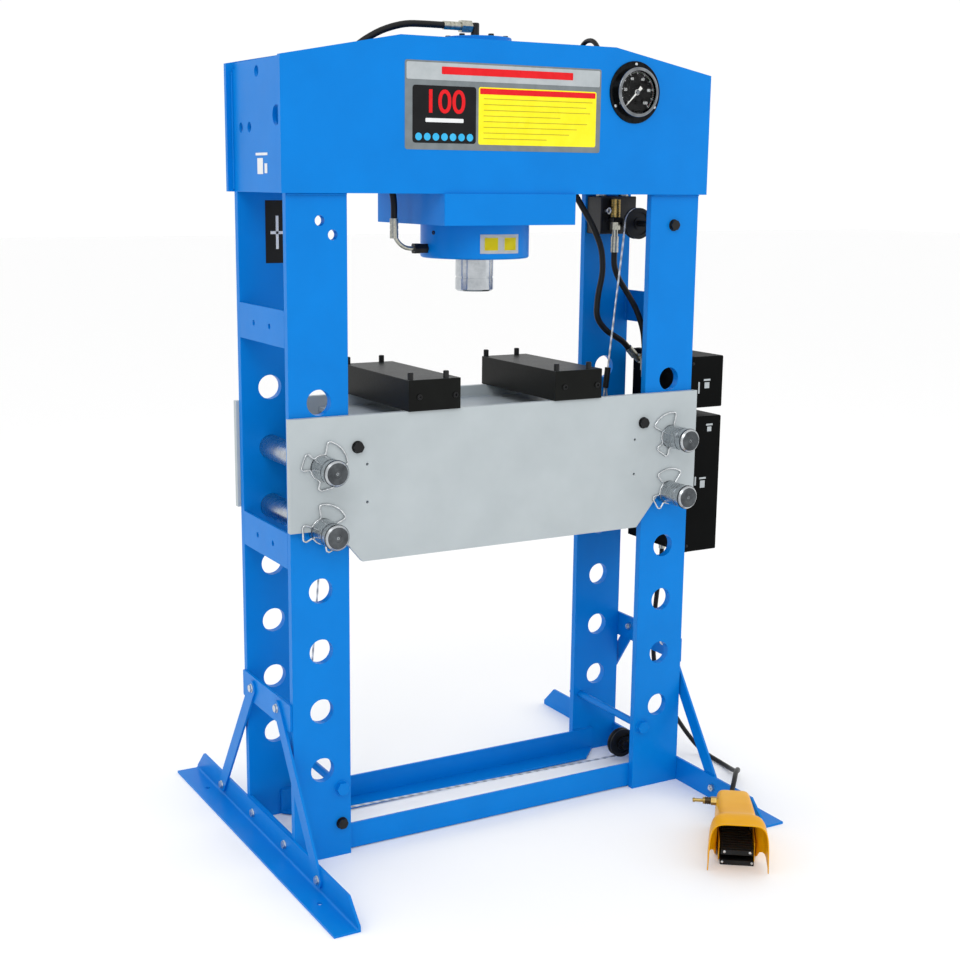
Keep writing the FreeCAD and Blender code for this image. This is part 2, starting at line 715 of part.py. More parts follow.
def bed_web():
    """Level plate and upright ribs that join the two bed plates."""
    y = bed_inner_y
    parts = [block(-web_half, -y, web_top_z - web_thick, web_half, y, web_top_z),
             block(-web_half, -y, bed_bottom_z + 12, web_half, y, bed_bottom_z + 12 + web_thick)]
    for x in (-web_half + 20, -rib_thick / 2, web_half - 20 - rib_thick):
        parts.append(block(x, -y, bed_bottom_z + 12 + web_thick, x + rib_thick, y, web_top_z - web_thick))
    shape = parts[0]
    for piece in parts[1:]:
        shape = shape.fuse(piece)
    return one(shape)


# ---- support pins ----
def pin_names():
    return [(level + "_" + side, sides[side] * column_centre_x, pin_levels[level])
            for level in ("upper", "lower") for side in ("left", "right")]


clip_y = -bed_outer_y - clip_wire / 2 - 0.8


def support_pin(x, z):
    front = -bed_outer_y - pin_front
    rear = bed_outer_y + pin_rear
    body = rod((x, front, z), (x, rear, z), pin_dia)
    ends = [e for e in body.Edges if e.Curve.TypeId == "Part::GeomCircle"]
    body = body.makeChamfer(4.0, ends)
    for y, width, depth in ((front + pin_end_length, 5.0, pin_groove),
                            (clip_y - clip_wire / 2 - 0.4, clip_wire + 0.8, pin_groove)):
        ring = rod((x, y, z), (x, y + width, z), pin_dia + 2)
        body = body.cut(ring.cut(rod((x, y - 1, z), (x, y + width + 1, z), pin_dia - 2 * depth)))
    return one(body.cut(rod((x, front - 1, z), (x, front + 6.0, z), 5.0)))


def pin_clip(name, x, z):
    """Spring wire bent into one round and two straight loops, open at one side of the pin."""
    inner = pin_dia / 2 + clip_wire / 2 - 1.0
    points = []
    limits = []

    def bend(radius, angle, limit):
        a = math.radians(angle)
        points.append((x + radius * math.cos(a), clip_y, z + radius * math.sin(a)))
        limits.append(limit)

    for k, (reach, span) in enumerate(clip_loops):
        centre = clip_turn[name] + 120 * k
        a0, a1 = centre - span / 2, centre + span / 2
        bend(inner, a0, 5.0)
        bend(reach, a0, 7.0)
        if k == 0:
            bend(reach, centre - span / 6, 60.0)
            bend(reach, centre + span / 6, 60.0)
        bend(reach, a1, 7.0)
        bend(inner, a1, 5.0)
        if k < 2:
            a2 = centre + 120 - clip_loops[k + 1][1] / 2
            bend(inner * 1.02, (a1 + a2) / 2, 30.0)
    return tube_along(route_arcs(points, limits[1:-1])[0], clip_wire)


# ---- pressing blocks ----
def press_block(left_x):
    y = block_length / 2
    body = block(left_x, -y, bed_top_z, left_x + block_width, y, bed_top_z + block_height)
    body = body.makeChamfer(1.0, body.Edges)
    for dx in stud_inset:
        for sy in (-1, 1):
            x0, y0 = left_x + dx, sy * (y - 9.0)
            body = body.cut(rod((x0, y0, bed_top_z + block_height - 25), (x0, y0, bed_top_z + block_height + 1),
                                stud_dia - 4))
    for dx in (28.0, 125.0):
        for sy in (-1, 1):
            hole = rod((left_x + dx, sy * (y + 1), bed_top_z + 34), (left_x + dx, sy * (y - 14), bed_top_z + 34), 8.0)
            body = body.cut(hole)
    return one(body)


def block_studs():
    """Round studs screwed into the top of both blocks."""
    studs = []
    top = bed_top_z + block_height
    for left_x in block_left_x:
        for dx in stud_inset:
            for sy in (-1, 1):
                x, y = left_x + dx, sy * (block_length / 2 - 9.0)
                head = rod((x, y, top), (x, y, top + stud_rise), stud_dia)
                rim = [e for e in head.Edges if e.CenterOfMass.z > top + 1 and e.Curve.TypeId == "Part::GeomCircle"]
                head = head.makeChamfer(1.5, rim)
                studs.append(head.fuse(rod((x, y, top - 22), (x, y, top + 1), stud_dia - 4 - 2 * run_clear)))
    return group(studs)


# ---- gauge ----
def gauge_case():
    face = -head_front_y
    flange = rod((gauge_x, face, gauge_z), (gauge_x, face - 4.0, gauge_z), gauge_flange_dia)
    flange = flange.makeFillet(1.8, [e for e in flange.Edges if e.CenterOfMass.y < face - 3.9
                                     and e.Curve.TypeId == "Part::GeomCircle"])
    can = rod((gauge_x, face + gauge_rear, gauge_z), (gauge_x, face - gauge_proud + 4.0, gauge_z),
              gauge_body_dia - 3.0)
    inside = rod((gauge_x, face + gauge_rear - 2.0, gauge_z), (gauge_x, face - gauge_proud, gauge_z),
                 gauge_body_dia - 8.0)
    stem = rod((gauge_x, face + gauge_rear, gauge_z), (gauge_x, face + gauge_rear + 14.0, gauge_z), 20.0)
    axle = rod((gauge_x, face + gauge_rear - 3.0, gauge_z), (gauge_x, face - gauge_proud + 6.5, gauge_z), 5.0)
    return one(flange.fuse(can).cut(inside).fuse(stem).fuse(axle))


def gauge_dial():
    face = -head_front_y - gauge_proud + 10.0
    dial = rod((gauge_x, face, gauge_z), (gauge_x, face + 1.2, gauge_z), gauge_body_dia - 8.6)
    return one(dial.cut(rod((gauge_x, face - 1, gauge_z), (gauge_x, face + 3, gauge_z), 5.6)))


def gauge_needle():
    """Pointer with a broad tail, parked at zero."""
    face = -head_front_y - gauge_proud + 7.5
    hub = rod((gauge_x, face, gauge_z), (gauge_x, face + 1.2, gauge_z), 14.0)
    tip = [(-2.6, 0), (-0.6, 44.0), (0.6, 44.0), (2.6, 0), (4.4, -17.0), (-4.4, -17.0)]
    outline = [Vector(gauge_x + x, face, gauge_z + z) for x, z in tip]
    blade = Part.Face(Part.makePolygon(outline + outline[:1])).extrude(Vector(0, 1.2, 0))
    blade.rotate(Vector(gauge_x, face, gauge_z), Vector(0, 1, 0), 225)
    needle = hub.fuse(blade)
    return one(needle.cut(rod((gauge_x, face - 1, gauge_z), (gauge_x, face + 2, gauge_z), 5.0 + 2 * run_clear)))


def gauge_bezel():
    face = -head_front_y - 4.0
    front = -head_front_y - gauge_proud
    ring = rod((gauge_x, face, gauge_z), (gauge_x, front, gauge_z), gauge_body_dia)
    ring = ring.makeFillet(3.0, [e for e in ring.Edges if e.CenterOfMass.y < front + 0.1
                                 and e.Curve.TypeId == "Part::GeomCircle"])
    hole = rod((gauge_x, face + 1, gauge_z), (gauge_x, front + 3.0, gauge_z), gauge_body_dia - 3.0 + 0.2)
    window = rod((gauge_x, face, gauge_z), (gauge_x, front - 1, gauge_z), gauge_body_dia - 16.0)
    return one(ring.cut(hole).cut(window))


def gauge_glass():
    front = -head_front_y - gauge_proud + 3.0
    return rod((gauge_x, front, gauge_z), (gauge_x, front + 0.9, gauge_z), gauge_body_dia - 8.6)


# ---- valve and pump ----
valve_x = (column_centre_x - 70.0, column_centre_x + 45.0)
valve_z = (head_bottom_z - 107.0, head_bottom_z - 7.0)
valve_front_y = bar_inner_y - 68.0
valve_port = (valve_x[0] + 36.0, valve_front_y - 15.0)
side_inlet = (valve_x[0] + 22.0, bar_inner_y - 34.0)
gauge_inlet = (valve_x[0] + 86.0, bar_inner_y - 46.0)


def valve_block():
    """Directional valve on the inner face of the rear right bar; the top axle passes it."""
    x, y = valve_port
    body = block(valve_x[0], valve_front_y, valve_z[0], valve_x[1], bar_inner_y, valve_z[1])
    body = body.makeChamfer(2.0, body.Edges)
    spool = rod((x, y, valve_z[0] + 44), (x, y, valve_z[1] - 6), 24.0)
    pad = block(x - 14, y - 14, valve_z[0] + 32, x + 14, valve_front_y + 3, valve_z[0] + 44)
    shape = body.fuse(spool).fuse(pad)
    axle = rod((top_pulley[0], 0, top_pulley[1]), (top_pulley[0], bar_inner_y + 1, top_pulley[1]), axle_dia + 6.0)
    return one(shape.cut(axle))


def case_shell(z_range):
    """Folded sheet cover, open towards the mounting plate."""
    z0, z1 = z_range
    x0, x1 = case_left_x, case_left_x + case_width
    outer = block(x0, case_front_y, z0, x1, case_rear_y, z1)
    outer = outer.makeFillet(4.0, edges_along(outer, Vector(1, 0, 0)))
    outer = outer.makeFillet(2.0, [e for e in outer.Edges if e.CenterOfMass.x > x1 - 0.1])
    inner = block(x0 - 1, case_front_y + case_wall, z0 + case_wall, x1 - case_wall, case_rear_y - case_wall,
                  z1 - case_wall)
    return outer.cut(inner)


def case_mount():
    """Mounting plate on the outer edge of the right upright, with the duct between the covers."""
    plate = block(column_outer_x, case_front_y, lower_case_z[0], case_left_x, case_rear_y, upper_case_z[1])
    duct = block(case_left_x, -70.0, lower_case_z[1], case_left_x + 60.0, 30.0, upper_case_z[0])
    return one(plate.fuse(duct))


def pump_unit():
    """Air motor and pump in the upper case, oil tank with its filler neck in the lower one."""
    x = case_left_x
    y = (case_front_y + case_rear_y) / 2
    motor = rod((x, y - 50, 1115.0), (x + 90.0, y - 50, 1115.0), 96.0)
    pump = block(x, y + 10, 1075.0, x + 84.0, y + 100, 1155.0)
    link = rod((x + 40, y - 10, 1115.0), (x + 40, y + 20, 1115.0), 40.0)
    tank = block(x, case_front_y + 20, lower_case_z[0] + 30, x + 88.0, case_rear_y - 20, lower_case_z[1] - 50)
    tank = tank.makeFillet(12.0, edges_along(tank, Vector(1, 0, 0)))
    neck = rod((x + 44, y, lower_case_z[1] - 51), (x + 44, y, lower_case_z[1] - 20), 40.0)
    return group([motor.fuse(pump).fuse(link), tank.fuse(neck)])


# ---- foot pedal, built along +Y and then turned ----
def to_pedal_place(shape):
    shape.rotate(Vector(0, 0, 0), Vector(0, 0, 1), pedal_turn)
    shape.translate(Vector(pedal_place[0], pedal_place[1], 0))
    return shape


def pedal_point(x, y, z):
    a = math.radians(pedal_turn)
    return (pedal_place[0] + x * math.cos(a) - y * math.sin(a),
            pedal_place[1] + x * math.sin(a) + y * math.cos(a), z)


def hood_section(y, width, height, low):
    """Arch outline across the pedal at distance y from its front."""
    half = width / 2
    corner = min(half * 0.45, height * 0.3)
    lean = 3.0
    return [Vector(-half, y, low), Vector(-half + lean, y, height - corner),
            Vector(-half + lean + corner * 0.3, y, height - corner * 0.3),
            Vector(-half + lean + corner, y, height),
            Vector(half - lean - corner, y, height),
            Vector(half - lean - corner * 0.3, y, height - corner * 0.3),
            Vector(half - lean, y, height - corner), Vector(half, y, low)]


def hood_solid(inset):
    """Loft of straight sections; the inner one is smaller by the wall on every side."""
    t = inset
    low = -1.0 if t else 0.0
    extra = -1.0 if t else 0.0
    rows = [(extra, pedal_hood_width - 2 * t, pedal_hood_height - t),
            (pedal_hood_length * 0.55, pedal_hood_width - 8 - 2 * t, pedal_hood_height + 3 - t),
            (pedal_hood_length, pedal_body_width + 6 - 2 * t, pedal_hood_height - 4 - t)]
    body_rows = [(pedal_hood_length, pedal_body_width + 6 - 2 * t, pedal_hood_height - 4 - t),
                 (pedal_length - t - 1, pedal_body_width - 12 - 2 * t, pedal_rear_height - t)]
    solids = []
    for pair in (rows, body_rows):
        wires = []
        for y, width, height in pair:
            pts = hood_section(y, width, height, low)
            wires.append(Part.makePolygon(pts + pts[:1]))
        solids.append(Part.makeLoft(wires, True, True))
    return solids[0].fuse(solids[1])


def pedal_hood():
    """Cast guard: a wide mouth over the treadle and a narrow box over the valve."""
    shell = hood_solid(0.0).cut(hood_solid(pedal_wall))
    floor_gap = 24.0
    for s in (-1, 1):
        x0 = s * (pedal_body_width / 2 - 3)
        x1 = s * (pedal_hood_width / 2 + 5)
        wedge = [Vector(0, 9.0, -1), Vector(0, 14.0, floor_gap), Vector(0, pedal_hood_length - 2, floor_gap),
                 Vector(0, pedal_hood_length - 2, -1)]
        cutter = Part.Face(Part.makePolygon(wedge + wedge[:1])).extrude(Vector(x1 - x0, 0, 0))
        cutter.translate(Vector(x0, 0, 0))
        shell = shell.cut(cutter)
    rear_y = pedal_length - 1
    port = rod((0, rear_y - 12, 62.0), (0, rear_y + 4, 62.0), 24.0)
    side_port = rod((-pedal_hood_width, *air_port), (-20.0, *air_port), 20.0)
    pin_hole = rod((-pedal_hood_width, treadle_axis[0], treadle_axis[1]),
                   (pedal_hood_width, treadle_axis[0], treadle_axis[1]), treadle_pin_dia + 0.4)
    shape = shell.cut(port).cut(side_port).cut(pin_hole)
    return to_pedal_place(one(shape))


treadle_axis = (168.0, 60.0)      # y and z of the hinge in the pedal's own frame
treadle_pin_dia = 8.0
air_port = (226.0, 86.0)         # y and z of the air inlet on the left side
base_half = 35.0                  # half width behind the treadle
base_front_half = 41.0


def pedal_base():
    """Black base plate with the hinge posts and the valve body on it."""
    ya, za = treadle_axis
    rear = pedal_length - pedal_wall - 4
    half, wide = base_half, base_front_half
    right = [(wide, 41.0), (wide, 96.0), (half, 134.0), (half, rear)]
    corners = [Vector(x, y, 0) for x, y in right] + [Vector(-x, y, 0) for x, y in reversed(right)]
    shape = Part.Face(Part.makePolygon(corners + corners[:1])).extrude(Vector(0, 0, 8.0))
    shape = shape.fuse(block(-wide, 41.0, 0, wide, 47.0, base_height - 14))
    shape = shape.fuse(block(-22, 192.0, 7.0, 22, rear - 6, air_port[1] + 10))
    for s in (-1, 1):
        x0, x1 = sorted((s * half, s * (half - 5)))
        shape = shape.fuse(block(x0, ya - 10, 7.0, x1, ya + 10, za + 10))
    hole = rod((-half - 1, ya, za), (half + 1, ya, za), treadle_pin_dia + 2 * run_clear)
    return to_pedal_place(one(shape.cut(hole)))


def pedal_treadle():
    """Tread plate with a turned-down front lip, hinged on a cross pin."""
    wide, half = base_front_half - 2.0, base_half - 6.5
    ya, za = treadle_axis
    y0, z0 = 43.0, base_height + 12.0
    thick = 4.0
    side = [(y0, z0), (ya - 4, za + 12), (ya + 6, za + 12), (ya + 8, za), (ya, za - 8), (ya - 8, za),
            (ya - 10, za + 12 - thick - 2), (y0 + thick, z0 - thick), (y0 + thick, base_height),
            (y0, base_height)]
    plate = prism_x(side, -wide, wide)
    right = [(wide, y0 - 1), (wide, 104.0), (half, 142.0), (half, ya + 20)]
    corners = [Vector(x, y, 0) for x, y in right] + [Vector(-x, y, 0) for x, y in reversed(right)]
    plate = plate.common(Part.Face(Part.makePolygon(corners + corners[:1])).extrude(Vector(0, 0, 150)))
    hole = rod((-half - 1, ya, za), (half + 1, ya, za), treadle_pin_dia + 2 * run_clear)
    return to_pedal_place(one(plate.cut(hole)))


def pedal_pin():
    half = pedal_body_width / 2 + 2.0
    ya, za = treadle_axis
    return to_pedal_place(rod((-half, ya, za), (half, ya, za), treadle_pin_dia))


def air_nipple():
    """Quick-connect plug on the left side of the pedal."""
    x0 = -22.0
    y, z = air_port
    parts = [rod((x0, y, z), (x0 - 22, y, z), 14.0),
             hexagon((x0 - 22, y, z), (x0 - 36, y, z), 19.0),
             rod((x0 - 36, y, z), (x0 - 50, y, z), 13.0),
             rod((x0 - 50, y, z), (x0 - 56, y, z), 17.0),
             rod((x0 - 56, y, z), (x0 - 76, y, z), 9.0),
             rod((x0 - 76, y, z), (x0 - 82, y, z), 11.0)]
    shape = parts[0]
    for piece in parts[1:]:
        shape = shape.fuse(piece)
    shape = shape.cut(rod((x0 - 40, y, z), (x0 - 90, y, z), 5.0))
    return to_pedal_place(one(shape))


# ---- hose routes, as points on the way of each hose ----
elbow_z = head_top_z + cap_rise + 26.0
port_x = -barrel_dia / 2
side_rise_x = port_x - 89.5
case_inlets = ((62.0, 1160.0, -1.0), (28.0, 1120.0, 0.0))     # y, z and lean of the fittings
air_outlet = (column_outer_x + 43.0, 0.0)
inlet_reach = 19.0


def inlet_point(which, along):
    """Point at a distance along the arm of one elbow on the mounting plate."""
    y, z, lean = case_inlets[which]
    way = Vector(lean, 0, 1).normalize() * along
    return (column_outer_x - inlet_reach + way.x, y, z + way.z)



# the fixed hoses keep their distance from the column, the bars and the head as drawn for this frame
route_column_x = 500.0
route_bar_y = 140.0
route_head_z = 1607.0


def share(value, low, high):
    return min(max((abs(value) - low) / (high - low), 0.0), 1.0)


def fitted(points):
    """Route points moved outwards and up with the frame around them."""
    moved = []
    for x, y, z in points:
        dx = math.copysign((column_centre_x - route_column_x) * share(x, 240.0, 400.0), x)
        dy = math.copysign((bar_inner_y - route_bar_y) * share(y, 30.0, 90.0), y)
        dz = (head_bottom_z - route_head_z) * share(z, 1260.0, 1440.0)
        moved.append((x + dx, y + dy, z + dz))
    return moved


top_hose_route = [(-94.0, 0.0, elbow_z), (-138.0, 0.0, elbow_z)] + fitted([
    (-196.0, 1.0, 2004.0), (-258.0, 4.0, 1986.0), (-322.0, 12.0, 1948.0), (-368.0, 30.0, 1886.0),
    (-378.0, 62.0, 1812.0), (-348.0, 108.0, 1748.0), (-284.0, 138.0, 1708.0), (-200.0, 148.0, 1690.0),
    (-90.0, 148.6, 1686.0), (30.0, 148.2, 1684.0), (140.0, 147.8, 1686.0), (226.0, 136.0, 1684.0),
    (288.0, 104.0, 1668.0), (330.0, 76.0, 1630.0), (358.0, 64.0, 1580.0), (396.0, 60.0, 1524.0),
    (428.0, 60.0, 1462.0), (433.0, 60.0, 1396.0), (418.0, 60.0, 1338.0), (415.0, 60.0, 1278.0),
    (446.0, 60.0, 1242.0)]) + [inlet_point(0, 70.0), inlet_point(0, 44.0)]

side_hose_route = [
    (side_rise_x, 0.0, side_port_z + 73.0), (side_rise_x, 0.0, side_port_z + 117.0)] + fitted([
    (-236.0, 6.0, 1640.0), (-238.0, 34.0, 1690.0), (-218.0, 84.0, 1732.0), (-176.0, 130.0, 1758.0),
    (-110.0, 147.5, 1770.0), (-20.0, 148.6, 1772.0), (80.0, 148.2, 1770.0), (160.0, 144.0, 1766.0),
    (228.0, 132.0, 1756.0), (296.0, 122.0, 1744.0), (362.0, 114.0, 1730.0), (418.0, 108.0, 1702.0)]) + [
    (*side_inlet, valve_z[1] + 64.0), (*side_inlet, valve_z[1] + 12.0)]

valve_hose_route = [(*valve_port, valve_z[0] - 48), (*valve_port, valve_z[0] - 84.0)] + fitted([
    (482.0, 56.0, 1380.0), (508.0, 50.0, 1342.0), (533.0, 40.0, 1298.0), (551.0, 31.0, 1244.0)]) + [
    inlet_point(1, 70.0), inlet_point(1, 44.0)]

gauge_stem_y = gauge_rear + 14.0 - head_front_y
gauge_hose_route = [(gauge_x, gauge_stem_y, gauge_z), (gauge_x, -54.0, gauge_z)] + fitted([
    (348.5, -24.5, 1885.0), (347.0, -24.0, 1964.0), (347.0, 5.0, 1993.0), (347.0, 46.0, 1993.2),
    (347.5, 75.0, 1964.0), (349.0, 76.0, 1910.0), (362.0, 62.0, 1830.0), (388.0, 50.0, 1784.0),
    (430.0, 44.0, 1744.0), (474.0, 52.0, 1706.0), (506.0, 78.0, 1676.0)]) + [
    (*gauge_inlet, valve_z[1] + 42.0), (*gauge_inlet, valve_z[1] + 12.0)]

pedal_port = pedal_point(0.0, pedal_length - 4.0, 62.0)
pedal_hose_route = [
    (air_outlet[0], air_outlet[1], lower_case_z[0] - 24.0), (air_outlet[0], 0.0, 576.0), (606.0, 1.0, 492.0),
    (598.0, -1.0, 400.0), (599.0, -2.0, 318.0), (613.0, -4.0, 240.0), (642.0, -6.0, 176.0),
    (672.0, -8.0, 134.0), (702.0, -9.0, 90.0), (726.0, -14.0, 56.0), (743.0, -36.0, 26.0),
    (751.0, -76.0, 10.0), (752.0, -124.0, 7.6), (747.0, -168.0, 8.4), (734.0, -214.0, 15.0), (708.0, -262.0, 34.0),
    (674.0, -306.0, 60.0), (638.0, -346.0, 84.0), (600.0, -384.0, 96.0), (562.0, -424.0, 92.0),
    pedal_point(0.0, pedal_length + 50.0, 76.0), pedal_point(0.0, pedal_length + 20.0, 66.0)]


def hose_elbows():
    """Black elbows: on the cylinder's cap and on the barrel's side port."""
    top = head_top_z + cap_rise
    stub = rod((-5, 0, top - 12), (-5, 0, top + 10), 9.9)
    collar = rod((-5, 0, top), (-5, 0, elbow_z + 10.0), 21.0)
    collar = collar.makeChamfer(2.0, [e for e in collar.Edges if e.CenterOfMass.z > elbow_z + 9
                                      and e.Curve.TypeId == "Part::GeomCircle"])
    arm = rod((-5, 0, elbow_z), (-18, 0, elbow_z), 18.0)
    first = stub.fuse(collar).fuse(arm)
    side = rod((port_x + 12, 0, side_port_z), (port_x - 2, 0, side_port_z), 11.9)
    body = hexagon((port_x, 0, side_port_z), (port_x - 20, 0, side_port_z), 22.0)
    nut = hexagon((port_x - 21, 0, side_port_z), (port_x - 37, 0, side_port_z), 24.0)
    neck = rod((port_x - 19, 0, side_port_z), (port_x - 22, 0, side_port_z), 15.0)
    return group([first, side.fuse(body).fuse(neck).fuse(nut)])


def ferrule(start, end, dia):
    """Crimped hose sleeve with two rolled grooves."""
    a, b = Vector(*start), Vector(*end)
    way = (b - a).normalize()
    length = (b - a).Length
    body = Part.makeCylinder(dia / 2, length, a, way)
    for share in (0.4, 0.65):
        ring = Part.makeCylinder(dia / 2 + 1, 2.4, a + way * (length * share), way)
        body = body.cut(ring.cut(Part.makeCylinder(dia / 2 - 1.0, 4.4, a + way * (length * share - 1), way)))
    return body


def hose_ends():
    """Plated nuts and ferrules on the hydraulic hoses."""
    ends = []
    nut = hexagon((-18, 0, elbow_z), (-47, 0, elbow_z), 27.0)
    ends.append(nut.fuse(ferrule((-46, 0, elbow_z), (-94, 0, elbow_z), 20.0)))
    x = port_x - 37
    start = Vector(x, 0, side_port_z)
    rise = Vector(side_rise_x, 0, side_port_z + 25.0)
    run = Vector(x - 6, 0, side_port_z)
    corner = Vector(side_rise_x, 0, side_port_z)
    reach = abs(corner.x - run.x) - 0.5
    first = corner + Vector(reach, 0, 0)
    last = corner + Vector(0, 0, reach)
    middle = corner + Vector(reach * (1 - math.sqrt(0.5)), 0, reach * (1 - math.sqrt(0.5)))
    edges = [Part.LineSegment(start, first).toShape(), Part.Arc(first, middle, last).toShape(),
             Part.LineSegment(last, rise + Vector(0, 0, 1)).toShape()]
    bent = tube_along(edges, 11.0)
    ends.append(bent.fuse(ferrule(rise, (side_rise_x, 0, side_port_z + 73.0), 21.0)))
    x, y = valve_port
    nut = hexagon((x, y, valve_z[0] + 32), (x, y, valve_z[0] + 12), 24.0)
    nut = nut.fuse(rod((x, y, valve_z[0] + 13), (x, y, valve_z[0] - 6), 16.0))
    ends.append(nut.fuse(ferrule((x, y, valve_z[0] - 6), (x, y, valve_z[0] - 48), 21.0)))
    for which, (y, z, lean) in enumerate(case_inlets):
        middle = inlet_point(which, 0)
        elbow = hexagon((column_outer_x, y, z), (column_outer_x - 12.0, y, z), 24.0)
        elbow = elbow.fuse(rod((column_outer_x - 11, y, z), middle, 13.0))
        elbow = elbow.fuse(rod(inlet_point(which, -8.0), inlet_point(which, 12.0), 15.0))
        ends.append(elbow.fuse(ferrule(inlet_point(which, 11.5), inlet_point(which, 44.0), 21.0)))
    for x, y in (side_inlet, gauge_inlet):
        ends.append(hexagon((x, y, valve_z[1]), (x, y, valve_z[1] + 12), 23.0))
    return group(ends)


def air_fittings():
    """Push-in air fittings at the ends of the pedal's hose."""
    x, y = air_outlet
    z = lower_case_z[0]
    top = hexagon((x, y, z), (x, y, z - 12), 20.0).fuse(rod((x, y, z - 11), (x, y, z - 24), 18.0))
    a = pedal_point(0.0, pedal_length - 9.0, 62.0)
    b = pedal_point(0.0, pedal_length + 8.0, 62.0)
    c = pedal_point(0.0, pedal_length + 20.0, 66.0)
    end = hexagon(a, b, 20.0).fuse(rod(b, c, 18.0))
    return group([top, end])


def all_nodes():
    nodes = {}
    for side, s in sides.items():
        nodes["upright_front_" + side] = upright_bar(s, True)
        nodes["upright_rear_" + side] = upright_bar(s, False)
        nodes["foot_" + side] = foot(s)
    nodes["head_front_plate"] = head_plate(True)
    nodes["head_rear_plate"] = head_plate(False)
    nodes["head_side_plates"] = head_side_plates()
    nodes["tie_plates"] = Part.makeCompound(tie_plates().Solids + base_ties().Solids + brace_brackets().Solids)
    nodes["base_rails"] = base_rails()
    nodes["foot_braces"] = foot_braces()
    nodes["brace_bolts"] = brace_bolts()
    nodes["frame_bolts"] = frame_bolts()
    nodes["axle_bolts"] = axle_bolts()
    nodes["pulley_top"] = pulley(top_pulley)
    nodes["pulley_low_right"] = pulley(right_pulley)
    nodes["pulley_low_left"] = pulley(left_pulley)
    nodes["pulley_bracket"] = pulley_bracket()
    nodes["lift_rope"] = Part.makeCompound([lift_rope()] + rope_ends().Solids)
    nodes["rope_sleeves"] = rope_sleeves()
    nodes["cylinder_carrier"] = cylinder_carrier()
    nodes["cylinder_barrel"] = cylinder_barrel()
    nodes["cylinder_cap"] = cylinder_cap()
    nodes["cylinder_gland"] = cylinder_gland()
    nodes["ram"] = ram()
    nodes["bed_front_plate"] = bed_plate(True)
    nodes["bed_rear_plate"] = bed_plate(False)
    nodes["bed_web"] = bed_web()
    for name, x, z in pin_names():
        nodes["pin_" + name] = support_pin(x, z)
        nodes["clip_" + name] = pin_clip(name, x, z)
    nodes["press_block_left"] = press_block(block_left_x[0])
    nodes["press_block_right"] = press_block(block_left_x[1])
    nodes["block_studs"] = block_studs()
    nodes["gauge_case"] = Part.makeCompound([gauge_case(), gauge_dial()])
    nodes["gauge_needle"] = gauge_needle()
    nodes["gauge_bezel"] = gauge_bezel()
    nodes["gauge_glass"] = gauge_glass()
    nodes["valve_block"] = valve_block()
    nodes["pump_cases"] = Part.makeCompound([case_shell(upper_case_z), case_shell(lower_case_z)])
    nodes["case_mount"] = case_mount()
    nodes["pump_unit"] = pump_unit()
    nodes["pedal_hood"] = pedal_hood()
    nodes["pedal_base"] = pedal_base()
    nodes["pedal_treadle"] = pedal_treadle()
    nodes["pedal_pin"] = pedal_pin()
    nodes["air_nipple"] = air_nipple()
    nodes["hose_elbows"] = hose_elbows()
    nodes["hose_ends"] = Part.makeCompound(hose_ends().Solids + air_fittings().Solids)
    nodes["top_hose"] = hose("top_hose", top_hose_route, hose_dia)
    nodes["side_hose"] = hose("side_hose", side_hose_route, hose_dia)
    nodes["valve_hose"] = hose("valve_hose", valve_hose_route, hose_dia)
    nodes["gauge_hose"] = hose("gauge_hose", gauge_hose_route, gauge_hose_dia)
    nodes["pedal_hose"] = hose("pedal_hose", pedal_hose_route, air_hose_dia)
    return nodes


os.makedirs("parts", exist_ok=True)
for node_name, node_shape in all_nodes().items():
    if not node_shape.isValid():
        print("not valid:", node_name)
    node_shape.exportStep("parts/" + node_name + ".step")
print("pieces", len(os.listdir("parts")))
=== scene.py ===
import json
import math

import bmesh
import bpy
from mathutils import Matrix, Vector


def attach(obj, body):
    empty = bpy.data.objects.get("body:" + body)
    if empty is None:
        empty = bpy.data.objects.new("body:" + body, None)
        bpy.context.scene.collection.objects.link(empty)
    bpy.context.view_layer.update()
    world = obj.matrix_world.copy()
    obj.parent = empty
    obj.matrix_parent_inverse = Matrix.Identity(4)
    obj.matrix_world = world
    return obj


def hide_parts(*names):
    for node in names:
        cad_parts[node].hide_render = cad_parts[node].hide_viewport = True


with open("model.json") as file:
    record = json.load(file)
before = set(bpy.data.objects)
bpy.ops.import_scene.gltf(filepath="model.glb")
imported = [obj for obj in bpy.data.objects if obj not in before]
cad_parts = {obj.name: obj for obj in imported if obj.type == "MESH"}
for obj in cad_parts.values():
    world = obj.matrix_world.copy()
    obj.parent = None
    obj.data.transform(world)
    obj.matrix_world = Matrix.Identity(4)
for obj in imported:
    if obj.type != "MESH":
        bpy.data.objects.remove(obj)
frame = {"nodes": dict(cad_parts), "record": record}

for name in ("Cube", "Light", "Camera"):
    if name in bpy.data.objects:
        bpy.data.objects.remove(bpy.data.objects[name])
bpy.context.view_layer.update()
mm = 0.001
waveTurn = 6.3             # with the scale over this, half a wave is about as long as the size given

camera = {
    "place": (-1.87159, -3.29709, 1.63324),
    "right": (0.87385277, -0.4861153, 0.00855931),
    "up": (0.08927419, 0.17773725, 0.9800202),
    "back": (-0.47792412, -0.85562924, 0.19871374),
    "lens": 55.892, "shiftX": 0.01863, "shiftY": 0.0048,
}
light = {
    "sky": ("FFFFFF", 1.02),
    "key": {"place": (-2.6, -4.2, 4.6), "aim": (0, 0, 1.0), "size": 2.6, "power": 70},
    "fill": {"place": (4.4, -2.6, 2.6), "aim": (0, 0, 1.0), "size": 3.0, "power": 20},
    "rim": {"place": (-1.5, 3.8, 3.6), "aim": (0, 0, 1.0), "size": 2.4, "power": 20},
}
pedal = {"place": (353, -700), "turn": -35.8}
headFace = -173.0          # front face of the head, mm
barrelRadius = 136.5


